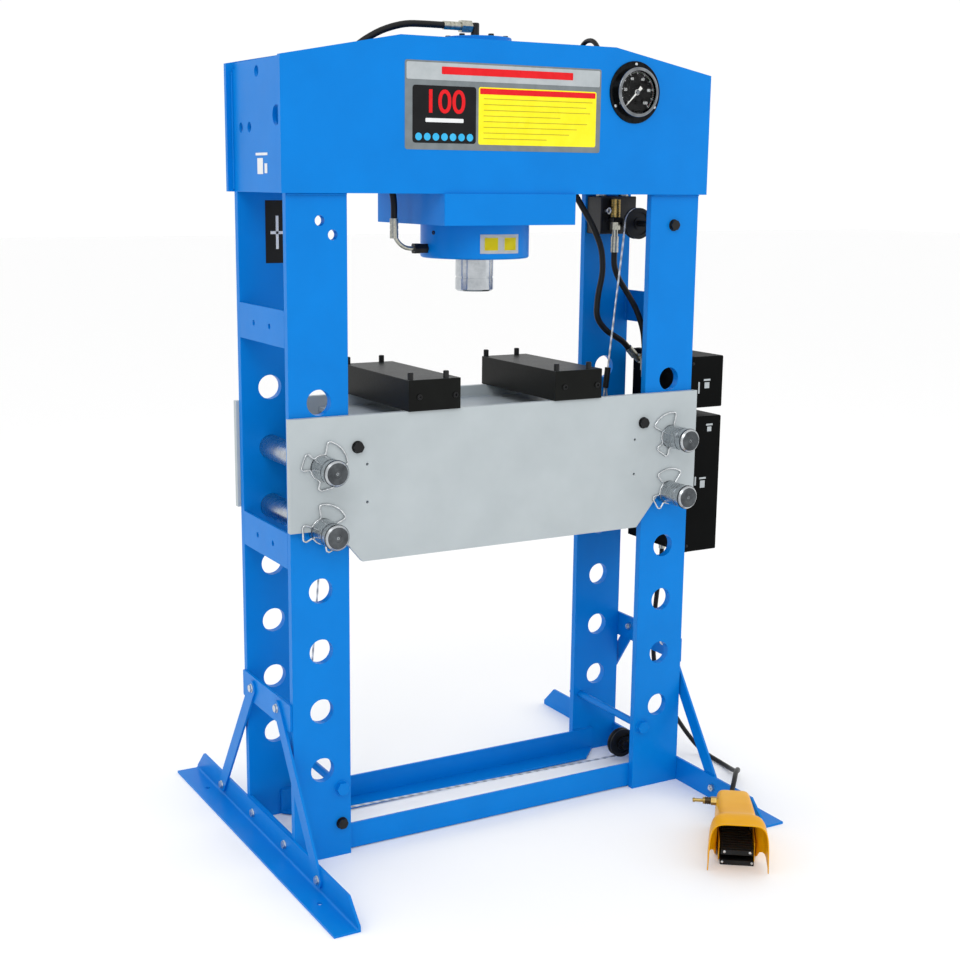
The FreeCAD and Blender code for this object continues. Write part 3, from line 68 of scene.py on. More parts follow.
# materials
def linear(hexText):
    values = []
    for i in (0, 2, 4):
        c = int(hexText[i:i + 2], 16) / 255
        values.append(c / 12.92 if c <= 0.04045 else ((c + 0.055) / 1.055) ** 2.4)
    return (*values, 1.0)


def addNode(tree, kind, feeds=None, **settings):
    node = tree.nodes.new("ShaderNode" + kind)
    for name, value in settings.items():
        setattr(node, name, value)
    for socket, value in (feeds or {}).items():
        if isinstance(value, bpy.types.NodeSocket):
            tree.links.new(value, node.inputs[socket])
        else:
            node.inputs[socket].default_value = value
    return node


def newMaterial(name, **surface):
    material = bpy.data.materials.new(name)
    material.use_nodes = True
    tree = material.node_tree
    shader = tree.nodes["Principled BSDF"]
    for socket, value in surface.items():
        shader.inputs[socket.replace("_", " ")].default_value = value
    spot = addNode(tree, "TexCoord").outputs["Object"]
    return material, tree, shader, spot


def perMm(size):
    # noise scale whose features are about this many millimetres across
    return 1000.0 / size


def mottle(tree, spot, low, high, size, detail=3.0):
    # two close tones of one colour, in soft patches
    noise = addNode(tree, "TexNoise", {"Vector": spot, "Scale": perMm(size), "Detail": detail,
                                       "Roughness": 0.6})
    ramp = addNode(tree, "ValToRGB", {"Fac": noise.outputs["Fac"]})
    ramp.color_ramp.elements[0].position = 0.32
    ramp.color_ramp.elements[0].color = linear(low)
    ramp.color_ramp.elements[1].position = 0.68
    ramp.color_ramp.elements[1].color = linear(high)
    return ramp.outputs["Color"]


def spread(tree, source, low, high):
    return addNode(tree, "MapRange", {"Value": source, "To Min": low, "To Max": high}).outputs["Result"]


def bumped(tree, shader, height, strength, depth, under=None):
    feeds = {"Height": height, "Strength": strength, "Distance": depth * mm}
    if under:
        feeds["Normal"] = under
    bump = addNode(tree, "Bump", feeds)
    tree.links.new(bump.outputs["Normal"], shader.inputs["Normal"])
    return bump.outputs["Normal"]


def sprayedEnamel(name, low, high, rough, peel, coat=0.03):
    # two-pack enamel sprayed on hot-rolled plate: glossy, with a faint orange peel, here 7 mm wide
    material, tree, shader, spot = newMaterial(name, Coat_Weight=coat, Coat_Roughness=0.12,
                                               Specular_IOR_Level=0.1)
    tree.links.new(mottle(tree, spot, low, high, 160), shader.inputs["Base Color"])
    film = addNode(tree, "TexNoise", {"Vector": spot, "Scale": perMm(45), "Detail": 4.0})
    tree.links.new(spread(tree, film.outputs["Fac"], rough - 0.05, rough + 0.07), shader.inputs["Roughness"])
    orange = addNode(tree, "TexNoise", {"Vector": spot, "Scale": perMm(7), "Detail": 2.0, "Roughness": 0.4})
    first = bumped(tree, shader, orange.outputs["Fac"], peel, 0.5)
    plate = addNode(tree, "TexNoise", {"Vector": spot, "Scale": perMm(260), "Detail": 1.0})
    bumped(tree, shader, plate.outputs["Fac"], 0.12, 6.0, first)
    return material


def platedSteel(name, low, high, rough, size=5.0):
    # plating over rolled or pressed steel, bright or dark: slightly cloudy
    material, tree, shader, spot = newMaterial(name, Metallic=1.0)
    tree.links.new(mottle(tree, spot, low, high, size), shader.inputs["Base Color"])
    cloud = addNode(tree, "TexNoise", {"Vector": spot, "Scale": perMm(size * 0.6), "Detail": 4.0})
    tree.links.new(spread(tree, cloud.outputs["Fac"], rough - 0.06, rough + 0.12),
                   shader.inputs["Roughness"])
    bumped(tree, shader, cloud.outputs["Fac"], 0.12, 0.1)
    return material


def turnedSteel(name, low, high, rough, pitch, along, strength=0.18):
    # ground or turned bar: fine rings across the length, with faint drag marks along it
    material, tree, shader, spot = newMaterial(name, Metallic=1.0)
    stretch = [0.05, 0.05, 0.05]
    stretch["xyz".index(along)] = 1.0
    shift = addNode(tree, "Mapping", {"Vector": spot, "Scale": stretch}).outputs["Vector"]
    rings = addNode(tree, "TexNoise", {"Vector": shift, "Scale": perMm(pitch), "Detail": 3.0,
                                       "Roughness": 0.7})
    tree.links.new(mottle(tree, spot, low, high, 30), shader.inputs["Base Color"])
    tree.links.new(spread(tree, rings.outputs["Fac"], rough - 0.07, rough + 0.12),
                   shader.inputs["Roughness"])
    bumped(tree, shader, rings.outputs["Fac"], strength, 0.12)
    return material


def blackOxide(name, low, high, rough, grain, strength=0.25):
    # blackened or black-painted steel: dark, a little blotchy, fine grain
    material, tree, shader, spot = newMaterial(name, Specular_IOR_Level=0.25)
    tree.links.new(mottle(tree, spot, low, high, 24), shader.inputs["Base Color"])
    fine = addNode(tree, "TexNoise", {"Vector": spot, "Scale": perMm(grain), "Detail": 3.0})
    tree.links.new(spread(tree, fine.outputs["Fac"], rough - 0.08, rough + 0.1), shader.inputs["Roughness"])
    bumped(tree, shader, fine.outputs["Fac"], strength, 0.25)
    return material


def textureCoat(name, low, high, rough):
    # powder coat with a fine wrinkle, drawn 3 mm wide so that it shows
    material, tree, shader, spot = newMaterial(name, Specular_IOR_Level=0.05)
    tree.links.new(mottle(tree, spot, low, high, 90), shader.inputs["Base Color"])
    cells = addNode(tree, "TexVoronoi", {"Vector": spot, "Scale": perMm(3.0)}, feature="SMOOTH_F1")
    tree.links.new(spread(tree, cells.outputs["Distance"], rough, rough + 0.15), shader.inputs["Roughness"])
    bumped(tree, shader, cells.outputs["Distance"], 0.3, 0.3)
    return material


def extrudedRubber(name, low, high, rough):
    # nitrile hose cover: dull, with the faint wrap marks of its curing tape, 12 mm apart
    material, tree, shader, spot = newMaterial(name, Specular_IOR_Level=0.25)
    tree.links.new(mottle(tree, spot, low, high, 60), shader.inputs["Base Color"])
    wrap = addNode(tree, "TexWave", {"Vector": spot, "Scale": perMm(12) / waveTurn, "Distortion": 1.5,
                                     "Detail": 2.0},
                   bands_direction="DIAGONAL")
    cloth = addNode(tree, "TexNoise", {"Vector": spot, "Scale": perMm(2.5), "Detail": 2.0})
    tree.links.new(spread(tree, cloth.outputs["Fac"], rough - 0.06, rough + 0.1), shader.inputs["Roughness"])
    first = bumped(tree, shader, cloth.outputs["Fac"], 0.25, 0.2)
    bumped(tree, shader, wrap.outputs["Fac"], 0.2, 0.25, first)
    return material


def strandedWire(name, low, high):
    # galvanised 5 mm rope: the lay of its strands is drawn 7 mm long
    material, tree, shader, spot = newMaterial(name, Metallic=0.9)
    lay = addNode(tree, "TexWave", {"Vector": spot, "Scale": perMm(7) / waveTurn, "Distortion": 0.4},
                  bands_direction="DIAGONAL")
    # the colour follows the lay: lighter on the strand crests, darker in the grooves between them, a painted
    # shade
    ramp = addNode(tree, "ValToRGB", {"Fac": lay.outputs["Fac"]})
    ramp.color_ramp.elements[0].color = linear(low)
    ramp.color_ramp.elements[1].color = linear(high)
    tree.links.new(ramp.outputs["Color"], shader.inputs["Base Color"])
    tree.links.new(spread(tree, lay.outputs["Fac"], 0.5, 0.3), shader.inputs["Roughness"])
    bumped(tree, shader, lay.outputs["Fac"], 0.8, 0.6)
    return material


def castMetal(name, low, high, rough, metallic):
    # sand or die casting: pitted skin about 4 mm across
    material, tree, shader, spot = newMaterial(name, Metallic=metallic)
    tree.links.new(mottle(tree, spot, low, high, 18), shader.inputs["Base Color"])
    skin = addNode(tree, "TexNoise", {"Vector": spot, "Scale": perMm(4), "Detail": 5.0, "Roughness": 0.65})
    tree.links.new(spread(tree, skin.outputs["Fac"], rough - 0.06, rough + 0.12), shader.inputs["Roughness"])
    bumped(tree, shader, skin.outputs["Fac"], 0.3, 0.4)
    return material


def mouldedNylon(name, low, high, rough):
    # injection-moulded black nylon: matt spark-eroded texture
    material, tree, shader, spot = newMaterial(name, Specular_IOR_Level=0.25)
    tree.links.new(mottle(tree, spot, low, high, 40), shader.inputs["Base Color"])
    spark = addNode(tree, "TexNoise", {"Vector": spot, "Scale": perMm(1.6), "Detail": 2.0})
    tree.links.new(spread(tree, spark.outputs["Fac"], rough - 0.05, rough + 0.08),
                   shader.inputs["Roughness"])
    bumped(tree, shader, spark.outputs["Fac"], 0.25, 0.15)
    return material


def printedVinyl(name, low, high, rough=0.28):
    # screen-printed vinyl sticker: even colour, smooth laminate with slight waves
    material, tree, shader, spot = newMaterial(name, Coat_Weight=0.06, Coat_Roughness=0.15,
                                               Specular_IOR_Level=0.15)
    tree.links.new(mottle(tree, spot, low, high, 30), shader.inputs["Base Color"])
    wave = addNode(tree, "TexNoise", {"Vector": spot, "Scale": perMm(35), "Detail": 1.0})
    tree.links.new(spread(tree, wave.outputs["Fac"], rough - 0.04, rough + 0.06), shader.inputs["Roughness"])
    bumped(tree, shader, wave.outputs["Fac"], 0.05, 0.4)
    return material


def blockSkin(name):
    # satin black block whose upward faces carry a painted grey sheen, in patches
    material, tree, shader, spot = newMaterial(name, Specular_IOR_Level=0.12)
    black = mottle(tree, spot, "070807", "0D0F0D", 60)
    # lighter grey on the upward faces only, set by the normal and a noise patch: a painted sheen
    sheenGrey = mottle(tree, spot, "262928", "3C403E", 22, 5.0)
    normal = addNode(tree, "NewGeometry").outputs["Normal"]
    upward = addNode(tree, "SeparateXYZ", {"Vector": normal}).outputs["Z"]
    patch = addNode(tree, "TexNoise", {"Vector": spot, "Scale": perMm(50), "Detail": 4.0}).outputs["Fac"]
    sheenMask = addNode(tree, "Math", {0: upward, 1: patch}, operation="MULTIPLY", use_clamp=True)
    mix = addNode(tree, "MixRGB", {"Fac": sheenMask.outputs["Value"], "Color1": black, "Color2": sheenGrey})
    tree.links.new(mix.outputs["Color"], shader.inputs["Base Color"])
    fine = addNode(tree, "TexNoise", {"Vector": spot, "Scale": perMm(5), "Detail": 3.0})
    tree.links.new(spread(tree, fine.outputs["Fac"], 0.34, 0.5), shader.inputs["Roughness"])
    bumped(tree, shader, fine.outputs["Fac"], 0.15, 0.2)
    return material


def clearGlass(name):
    # thin window glass; the index is set low so that a white room does not veil the dial
    material, tree, shader, spot = newMaterial(name, Base_Color=(1, 1, 1, 1), IOR=1.06,
                                               Transmission_Weight=1.0)
    smear = addNode(tree, "TexNoise", {"Vector": spot, "Scale": perMm(20), "Detail": 2.0})
    tree.links.new(spread(tree, smear.outputs["Fac"], 0.02, 0.07), shader.inputs["Roughness"])
    return material


finishes = {
    "frame_paint": sprayedEnamel("blueEnamel", "0076CB", "007BD2", 0.34, 0.16),
    "bed_paint": sprayedEnamel("paleGreyEnamel", "ACB4B7", "B3BBBE", 0.36, 0.12),
    "zinc_bolts": platedSteel("brightZinc", "B9BDC0", "D6D9DB", 0.28),
    "black_steel": blackOxide("blackOxideBolt", "0C0D0E", "17181A", 0.38, 2.5),
    "black_plastic": mouldedNylon("blackNylon", "101112", "1A1B1C", 0.48),
    "wire_rope": strandedWire("galvanisedRope", "A9ADB0", "DEE1E3"),
    "rope_sleeve": mouldedNylon("shrinkSleeve", "0C0C0D", "151516", 0.55),
    "gland_iron": castMetal("oiledGland", "1A1C1E", "2B2E31", 0.38, 0.7),
    "ram_chrome": turnedSteel("hardChromeRam", "A9AEB3", "C4C8CC", 0.17, 1.2, "z", 0.12),
    "pin_steel": turnedSteel("turnedPinSteel", "A9ADB1", "C0C4C7", 0.24, 1.6, "y", 0.2),
    "clip_wire": platedSteel("springWire", "B4B8BB", "DADDDF", 0.2, 8),
    "block_steel": blockSkin("satinBlackBlock"),
    "stud_steel": blackOxide("blackStud", "0E0F10", "1B1C1D", 0.36, 2.0),
    "gauge_case": platedSteel("blackChromedCase", "17181A", "232527", 0.1),
    "gauge_chrome": turnedSteel("chromedRim", "6A6E72", "8B8F93", 0.1, 2.0, "y", 0.05),
    "needle_white": printedVinyl("whitePointer", "E9E9E5", "F1F1EE", 0.45),
    "gauge_glass": clearGlass("gaugeGlass"),
    "valve_black": castMetal("blackValveCasting", "101113", "1C1D20", 0.42, 0.3),
    "case_paint": textureCoat("wrinkleBlack", "040505", "080909", 0.42),
    "pump_metal": castMetal("castAluminium", "8F9294", "A8ABAD", 0.42, 1.0),
    "pedal_yellow": sprayedEnamel("yellowEnamel", "DE9C00", "E7A804", 0.36, 0.25, 0.05),
    "pin_zinc": platedSteel("zincPin", "AEB2B5", "CDD0D2", 0.3),
    "nipple_brass": turnedSteel("machinedBrass", "8C7440", "B39A5E", 0.3, 1.0, "x"),
    "elbow_black": blackOxide("blackElbow", "0D0E10", "191B1E", 0.34, 2.0),
    "hose_plating": platedSteel("yellowedZinc", "9C9C92", "C2C1B4", 0.3),
    "hose_rubber": extrudedRubber("nitrileHose", "0B0C0D", "141516", 0.45),
}
extra = {
    "capBlack": turnedSteel("burnishedCap", "44474A", "5E6265", 0.18, 1.2, "y", 0.2),
    "panelGrey": printedVinyl("vinylDarkGrey", "6F7679", "7A8184"),
    "headerGrey": printedVinyl("vinylSilver", "A7AEB1", "B1B7BA"),
    "panelBlack": printedVinyl("vinylBlack", "0D0E10", "131416"),
    "panelYellow": printedVinyl("vinylYellow", "F2E21C", "F7E92A"),
    "panelRed": printedVinyl("vinylRed", "D5131B", "DE1A22"),
    "panelWhite": printedVinyl("vinylWhite", "DADDDE", "E4E6E7"),
    "panelSky": printedVinyl("vinylSkyBlue", "2FA8DC", "42B4E4"),
    "panelLine": printedVinyl("vinylOlive", "A39A22", "ADA42C"),
    "dialBlack": printedVinyl("dialBlack", "050506", "08090A", 0.5),
    "dialGreen": printedVinyl("dialGreen", "3E7F3A", "478A42", 0.5),
    "weldBlue": sprayedEnamel("paintedWeld", "0073C7", "0078CE", 0.38, 0.3),
    "weldGrey": sprayedEnamel("paintedWeldGrey", "A8B0B3", "AFB7BA", 0.4, 0.3),
    "sealBlack": mouldedNylon("wiperSeal", "0B0B0C", "141415", 0.4),
    "knurled": turnedSteel("bronzedCoupling", "3C3428", "5C5140", 0.36, 1.4, "x", 0.5),
}
for part in frame["record"]["subparts"]:
    node = frame["nodes"][part["node"]]
    if not node.material_slots:
        node.data.materials.append(finishes[part["material_slot"]])
    for slot in node.material_slots:
        slot.material = finishes[part["material_slot"]]
print("materials", len(finishes) + len(extra))


# shaping
def addedBy(bm, action):
    # runs one shaping step and gives the vertices that it added
    before = set(bm.verts)
    action()
    return [v for v in bm.verts if v not in before]


def place(bm, verts, matrix):
    bmesh.ops.transform(bm, matrix=matrix, verts=verts)


def facing(axis):
    return Vector((0, 0, 1)).rotation_difference(Vector(axis)).to_matrix().to_4x4()


def turn(bm, profile, centre, axis, steps=48):
    # spins (radius, height) points round an axis, in millimetres
    def make():
        points = [bm.verts.new((r * mm, 0, h * mm)) for r, h in profile]
        edges = [bm.edges.new(pair) for pair in zip(points, points[1:])]
        bmesh.ops.spin(bm, geom=points + edges, cent=(0, 0, 0), axis=(0, 0, 1), dvec=(0, 0, 0),
                       angle=math.tau, steps=steps, use_merge=True, use_duplicate=False)
    verts = addedBy(bm, make)
    bmesh.ops.remove_doubles(bm, verts=verts, dist=1e-6)
    verts = [v for v in verts if v.is_valid]
    place(bm, verts, Matrix.Translation(Vector(centre) * mm) @ facing(axis))
    return verts


def slab(bm, low, high, bevel=0.0, segments=2):
    # a box between two corners in millimetres, its edges bevelled
    size = [(b - a) * mm for a, b in zip(low, high)]
    middle = [(a + b) / 2 * mm for a, b in zip(low, high)]
    verts = bmesh.ops.create_cube(bm, size=1.0)["verts"]
    place(bm, verts, Matrix.Translation(middle) @ Matrix.Diagonal((*size, 1)))
    if bevel:
        edges = list({e for v in verts for e in v.link_edges})
        bmesh.ops.bevel(bm, geom=edges, offset=bevel * mm, affect="EDGES", segments=segments, profile=0.5,
                        material=-1)
    return verts


def finishPiece(name, bm, material, body, angle=35, closed=True):
    if closed:
        bmesh.ops.recalc_face_normals(bm, faces=bm.faces)
    mesh = bpy.data.meshes.new(name)
    bm.to_mesh(mesh)
    bm.free()
    mesh.polygons.foreach_set("use_smooth", [True] * len(mesh.polygons))
    mesh.set_sharp_from_angle(angle=math.radians(angle))
    mesh.materials.append(material)
    piece = bpy.data.objects.new(name, mesh)
    bpy.context.scene.collection.objects.link(piece)
    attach(piece, body)
    return piece


def sticker(name, boxes, material, depth, bevel=3.0):
    # flat printed fields on the front of the head, each (left, right, bottom, top)
    bm = bmesh.new()
    for x0, x1, z0, z1 in boxes:
        verts = slab(bm, (x0, headFace - depth, z0), (x1, headFace - depth + 0.35, z1))
        corners = [e for e in {e for v in verts for e in v.link_edges}
                   if abs((e.verts[0].co - e.verts[1].co).normalized().y) > 0.9]
        bmesh.ops.bevel(bm, geom=corners, offset=min(bevel, (z1 - z0) * 0.45, (x1 - x0) * 0.45) * mm,
                        affect="EDGES", segments=5, profile=0.5, material=-1)
    return finishPiece(name, bm, material, "frame")


# welds
welds = {
    "weldBlue": [
        ((-181, -176, 1603), (181, -176, 1603), 3.2), ((-181, 176, 1603), (181, 176, 1603), 3.2),
        ((-573, -163, 1605), (-427, -163, 1605), 2.6), ((427, -163, 1605), (573, -163, 1605), 2.6),
        ((-573, 163, 1605), (-427, 163, 1605), 2.6), ((427, 163, 1605), (573, 163, 1605), 2.6),
        ((-576, -158, 1612), (-576, -158, 1886), 3.0), ((-576, 158, 1612), (-576, 158, 1886), 3.0),
        ((576, -158, 1612), (576, -158, 1886), 3.0), ((576, 158, 1612), (576, 158, 1886), 3.0),
        *[((s * 568, t * 138.5, low + 6), (s * 568, t * 138.5, low + 79), 2.6)
          for s in (-1, 1) for t in (-1, 1) for low in (1259, 740)],
        *[((s * 577, t * 150, 10), (s * 577, t * 150, 62), 2.4) for s in (-1, 1) for t in (-1, 1)],
        *[((s * 426, t * 138, 8), (s * 426, t * 138, 64), 2.6) for s in (-1, 1) for t in (-1, 1)],
        *[((s * 430, t * 139, 69), (s * 486, t * 139, 69), 2.4) for s in (-1, 1) for t in (-1, 1)],
    ],
    "weldGrey": [
        ((-358, -159.5, 1070), (358, -159.5, 1070), 3.0), ((-358, 159.5, 1070), (358, 159.5, 1070), 3.0),
    ],
}


def weldBead(bm, start, end, radius):
    # a closed bead along a seam, with a ripple about every 5 mm
    a, b = Vector(start) * mm, Vector(end) * mm
    length = (b - a).length
    bead = bmesh.new()
    bmesh.ops.create_cone(bead, cap_ends=True, segments=8, radius1=radius * mm, radius2=radius * mm,
                          depth=length)
    along = [e for e in bead.edges if abs((e.verts[0].co - e.verts[1].co).normalized().z) > 0.9]
    bmesh.ops.subdivide_edges(bead, edges=along, cuts=max(6, int(length / (2.5 * mm))), use_grid_fill=True)
    for v in bead.verts:
        phase = (v.co.z + length / 2) / (5.2 * mm) * math.tau
        swell = 1 + 0.13 * math.sin(phase) + 0.06 * math.sin(phase * 0.37 + 1.3)
        taper = min(1.0, 0.55 + (length / 2 - abs(v.co.z)) / (6 * mm))
        v.co.x *= swell * taper
        v.co.y *= swell * taper
    place(bead, list(bead.verts), Matrix.Translation((a + b) / 2) @ facing(b - a))
    made = bpy.data.meshes.new("bead")
    bead.to_mesh(made)
    bead.free()
    bm.from_mesh(made)
    bpy.data.meshes.remove(made)


for finish, beads in welds.items():
    bm = bmesh.new()
    for bead in beads:
        weldBead(bm, *bead)
    finishPiece(finish + "Beads", bm, extra[finish], "frame",
                angle=60)
print("welds", sum(len(beads) for beads in welds.values()))

# name plate: plain colour fields only
namePlate = {
    "left": -285.0, "right": 252.5, "bottom": 1707.0, "top": 1906.0, "header": 1863.5, "rim": 4.0,
    "black": (-265.5, -98.3, 1722, 1851), "yellow": (-91.5, 239.3, 1720.6, 1852),
    "red": ((-190, 170, 1877, 1894), (-88, 236, 1836, 1849)), "white": (-232, -132, 1769, 1778),
    "lineLeft": -78.0, "lineHigh": 1.5,
    "lines": ((1825, 306), (1812, 288), (1799, 300), (1786, 214), (1773, 292), (1760, 262), (1747, 240),
              (1734, 176)),
    "dots": 7, "firstDot": -250.0, "dotStep": 22.6, "dotLevel": 1736.0, "dotRadius": 8.6, "dotThick": 0.35,
    "figures": "100", "figureHeight": 74.0, "figurePlace": (-182, headFace - 1.5, 1813),
}
plateSeat = {"panel": 0.5, "fields": 0.9, "dots": 1.0, "marks": 1.3}      # how far each layer stands out
sticker("platePanel", [(namePlate["left"], namePlate["right"], namePlate["bottom"], namePlate["top"])],
        extra["panelGrey"], plateSeat["panel"], 6)
sticker("plateHeader", [(namePlate["left"] + namePlate["rim"], namePlate["right"] - namePlate["rim"],
                         namePlate["header"], namePlate["top"] - namePlate["rim"])],
        extra["headerGrey"], plateSeat["fields"], 4)
sticker("plateBlackField", [namePlate["black"]], extra["panelBlack"], plateSeat["fields"], 7)
sticker("plateYellowField", [namePlate["yellow"]], extra["panelYellow"], plateSeat["fields"],
        5)
sticker("plateRedFields", namePlate["red"], extra["panelRed"], plateSeat["marks"], 2)
sticker("plateLines", [(namePlate["lineLeft"], namePlate["lineLeft"] + length, z, z + namePlate["lineHigh"])
                       for z, length in namePlate["lines"]],
        extra["panelLine"], plateSeat["marks"], 1)
sticker("plateWhiteBar", [namePlate["white"]], extra["panelWhite"], plateSeat["marks"], 2)
bm = bmesh.new()
for k in range(namePlate["dots"]):
    r, thick = namePlate["dotRadius"], namePlate["dotThick"]
    turn(bm, [(0, 0), (r, 0), (r, thick), (0, thick)],
         (namePlate["firstDot"] + k * namePlate["dotStep"], headFace - plateSeat["dots"],
          namePlate["dotLevel"]), (0, -1, 0), 24)
finishPiece("plateDots", bm, extra["panelSky"], "frame")


def figures(name, text, height, centre, material, body, extrude=0.2):
    # plain figures, upright and facing the front, made into a mesh
    curve = bpy.data.curves.new(name, "FONT")
    curve.body = text
    curve.size = height * mm
    curve.extrude = extrude * mm
    curve.align_x = "CENTER"
    curve.align_y = "CENTER"
    curve.offset = height * mm * 0.012
    holder = bpy.data.objects.new(name + "Curve", curve)
    bpy.context.scene.collection.objects.link(holder)
    bpy.context.view_layer.update()
    mesh = bpy.data.meshes.new_from_object(holder.evaluated_get(bpy.context.evaluated_depsgraph_get()))
    bpy.data.objects.remove(holder)
    mesh.transform(Matrix.Translation(Vector(centre) * mm) @ Matrix.Rotation(math.radians(90), 4, "X"))
    bm = bmesh.new()
    bm.from_mesh(mesh)
    bmesh.ops.remove_doubles(bm, verts=bm.verts, dist=1e-6)
    return finishPiece(name, bm, material, body)


figures("plateFigures", namePlate["figures"], namePlate["figureHeight"], namePlate["figurePlace"],
        extra["panelRed"], "frame")

# plain labels
bm = bmesh.new()
for low, high in (((-575.9, -58, 1690), (-575.2, 14, 1696)), ((-575.9, -30, 1648), (-575.2, 4, 1684)),
                  ((-575.9, -56, 1650), (-575.2, -40, 1672))):
    slab(bm, low, high, 0.3, 1)
finishPiece("sidePlateMarks", bm, extra["panelWhite"], "frame")
bm = bmesh.new()
slab(bm, (-505, 139.2, 1436), (-432, 139.9, 1587), 0.3, 1)
finishPiece("columnLabel", bm, extra["panelBlack"], "frame")
bm = bmesh.new()
slab(bm, (-478, 138.6, 1470), (-471, 139.3, 1550), 0.2, 1)
slab(bm, (-492, 138.6, 1506), (-457, 139.3, 1513), 0.2, 1)
finishPiece("columnLabelBars", bm, extra["panelWhite"], "frame")
bm = bmesh.new()
caseMarks = [      # left, low, right, high on the front of the pump covers
    (606, 1085, 611, 1116), (624, 1118, 646, 1123), (627, 1098, 643, 1114), (638, 996, 660, 1001),
    (642, 980, 656, 993), (606, 834, 611, 858), (622, 850, 644, 855), (625, 826, 641, 846)]
for x0, z0, x1, z1 in caseMarks:
    slab(bm, (x0, -150.6, z0), (x1, -150.0, z1), 0.2, 1)
finishPiece("caseMarks", bm, extra["headerGrey"], "frame")


def barrelPatch(name, x0, x1, z0, z1, lift, material):
    # a sticker wrapped round the barrel; x0 and x1 are measured along it
    bm = bmesh.new()
    verts = bmesh.ops.create_grid(bm, x_segments=24, y_segments=3, size=0.5)["verts"]
    for v in verts:
        turnBy = (x0 + (v.co.x + 0.5) * (x1 - x0)) / barrelRadius
        height = z0 + (v.co.y + 0.5) * (z1 - z0)
        r = (barrelRadius + lift) * mm
        v.co = Vector((r * math.sin(turnBy), -r * math.cos(turnBy), height * mm))
    bmesh.ops.solidify(bm, geom=list(bm.faces), thickness=0.3 * mm)
    return finishPiece(name, bm, material, "frame")


barrelPatch("barrelLabel", -57, 52, 1464, 1510, 0.5, extra["panelWhite"])
barrelPatch("barrelLabelLeft", -46, -12, 1472, 1502, 0.9, extra["panelYellow"])
barrelPatch("barrelLabelRight", 6, 42, 1472, 1502, 0.9, extra["panelYellow"])
print("labels")

domes = {         # outlines of domed screw heads
    "gauge": [(0, 2.4), (2.6, 2.2), (3.8, 1.0), (3.9, 0), (0, 0)],
    "coverEdge": [(0, 2.6), (2.4, 2.4), (4.0, 1.0), (4.2, 0), (0, 0)],
    "coverFace": [(0, 2.2), (2.4, 2.0), (3.8, 0.9), (4.0, 0), (0, 0)],
    "tread": [(0, 2.0), (2.2, 1.8), (3.4, 0.8), (3.5, 0), (0, 0)],
    "lip": [(0, 1.6), (2.0, 1.4), (3.0, 0.7), (3.1, 0), (0, 0)],
    "hood": [(0, 1.8), (2.2, 1.6), (3.4, 0.8), (3.6, -1.0), (0, -1.0)],
}

# gauge dial
dial = {"x": 353.0, "z": 1855.0, "y": -183.45, "radius": 55.0, "start": 225.0, "sweep": 270.0, "steps": 10}


def dialSpot(angle, radius, y):
    a = math.radians(dial["start"] - angle)
    return dial["x"] + radius * math.cos(a), y, dial["z"] + radius * math.sin(a)


bm = bmesh.new()
turn(bm, [(3.4, 0), (dial["radius"], 0), (dial["radius"], 0.3), (3.4, 0.3), (3.4, 0)],
     (dial["x"], dial["y"] + 0.3, dial["z"]), (0, -1, 0), 72)
finishPiece("dialFace", bm, extra["dialBlack"], "frame")


def dialArc(name, a0, a1, r0, r1, material):
    bm = bmesh.new()
    count = int(abs(a1 - a0) / 3) + 2
    verts = bmesh.ops.create_grid(bm, x_segments=count, y_segments=1, size=0.5)["verts"]
    for v in verts:
        x, y, z = dialSpot(a0 + (v.co.x + 0.5) * (a1 - a0), r0 + (v.co.y + 0.5) * (r1 - r0),
                           dial["y"] - 0.25)
        v.co = Vector((x, y, z)) * mm
    bmesh.ops.solidify(bm, geom=list(bm.faces), thickness=0.2 * mm)
    finishPiece(name, bm, material, "frame")


dialArc("dialArcWhite", 0, 270, 50.5, 51.5, extra["panelWhite"])
dialArc("dialArcGreen", 0, 189, 46.5, 48.8, extra["dialGreen"])
dialArc("dialArcRed", 189, 270, 46.5, 48.8, extra["panelRed"])
bm = bmesh.new()
for k in range(51):
    angle = dial["sweep"] * k / 50
    inner, width = (43.5, 1.3) if k % 5 == 0 else (46.5, 0.6)
    verts = bmesh.ops.create_cube(bm, size=1.0)["verts"]
    spin = math.radians(dial["start"] - angle)
    x, y, z = dialSpot(angle, (inner + 50.5) / 2, dial["y"] - 0.5)
    place(bm, verts, Matrix.Translation((x * mm, y * mm, z * mm)) @ Matrix.Rotation(-spin, 4, "Y")
          @ Matrix.Diagonal(((50.5 - inner) * mm, 0.2 * mm, width * mm, 1)))
finishPiece("dialTicks", bm, extra["panelWhite"], "frame")
for k in range(0, dial["steps"] + 1, 2):
    angle = dial["sweep"] * k / dial["steps"]
    figures("dialFigure%d" % k, str(k * 10), 9.5, dialSpot(angle, 35.5, dial["y"] - 0.4), extra["panelWhite"],
            "frame", 0.1)
bm = bmesh.new()
turn(bm, [(0, 3.2), (4.6, 3.0), (6.0, 1.6), (6.0, 0), (0, 0)],
     (dial["x"], -185.6, dial["z"]), (0, -1, 0), 32)
finishPiece("needleCap", bm, finishes["gauge_chrome"], "needle")
bm = bmesh.new()
for k in range(3):
    a = math.radians(90 + 120 * k)
    x, z = dial["x"] + 67.5 * math.cos(a), dial["z"] + 67.5 * math.sin(a)
    turn(bm, domes["gauge"], (x, -177.0, z), (0, -1, 0), 20)
finishPiece("gaugeScrews", bm, finishes["zinc_bolts"], "frame")
print("gauge")

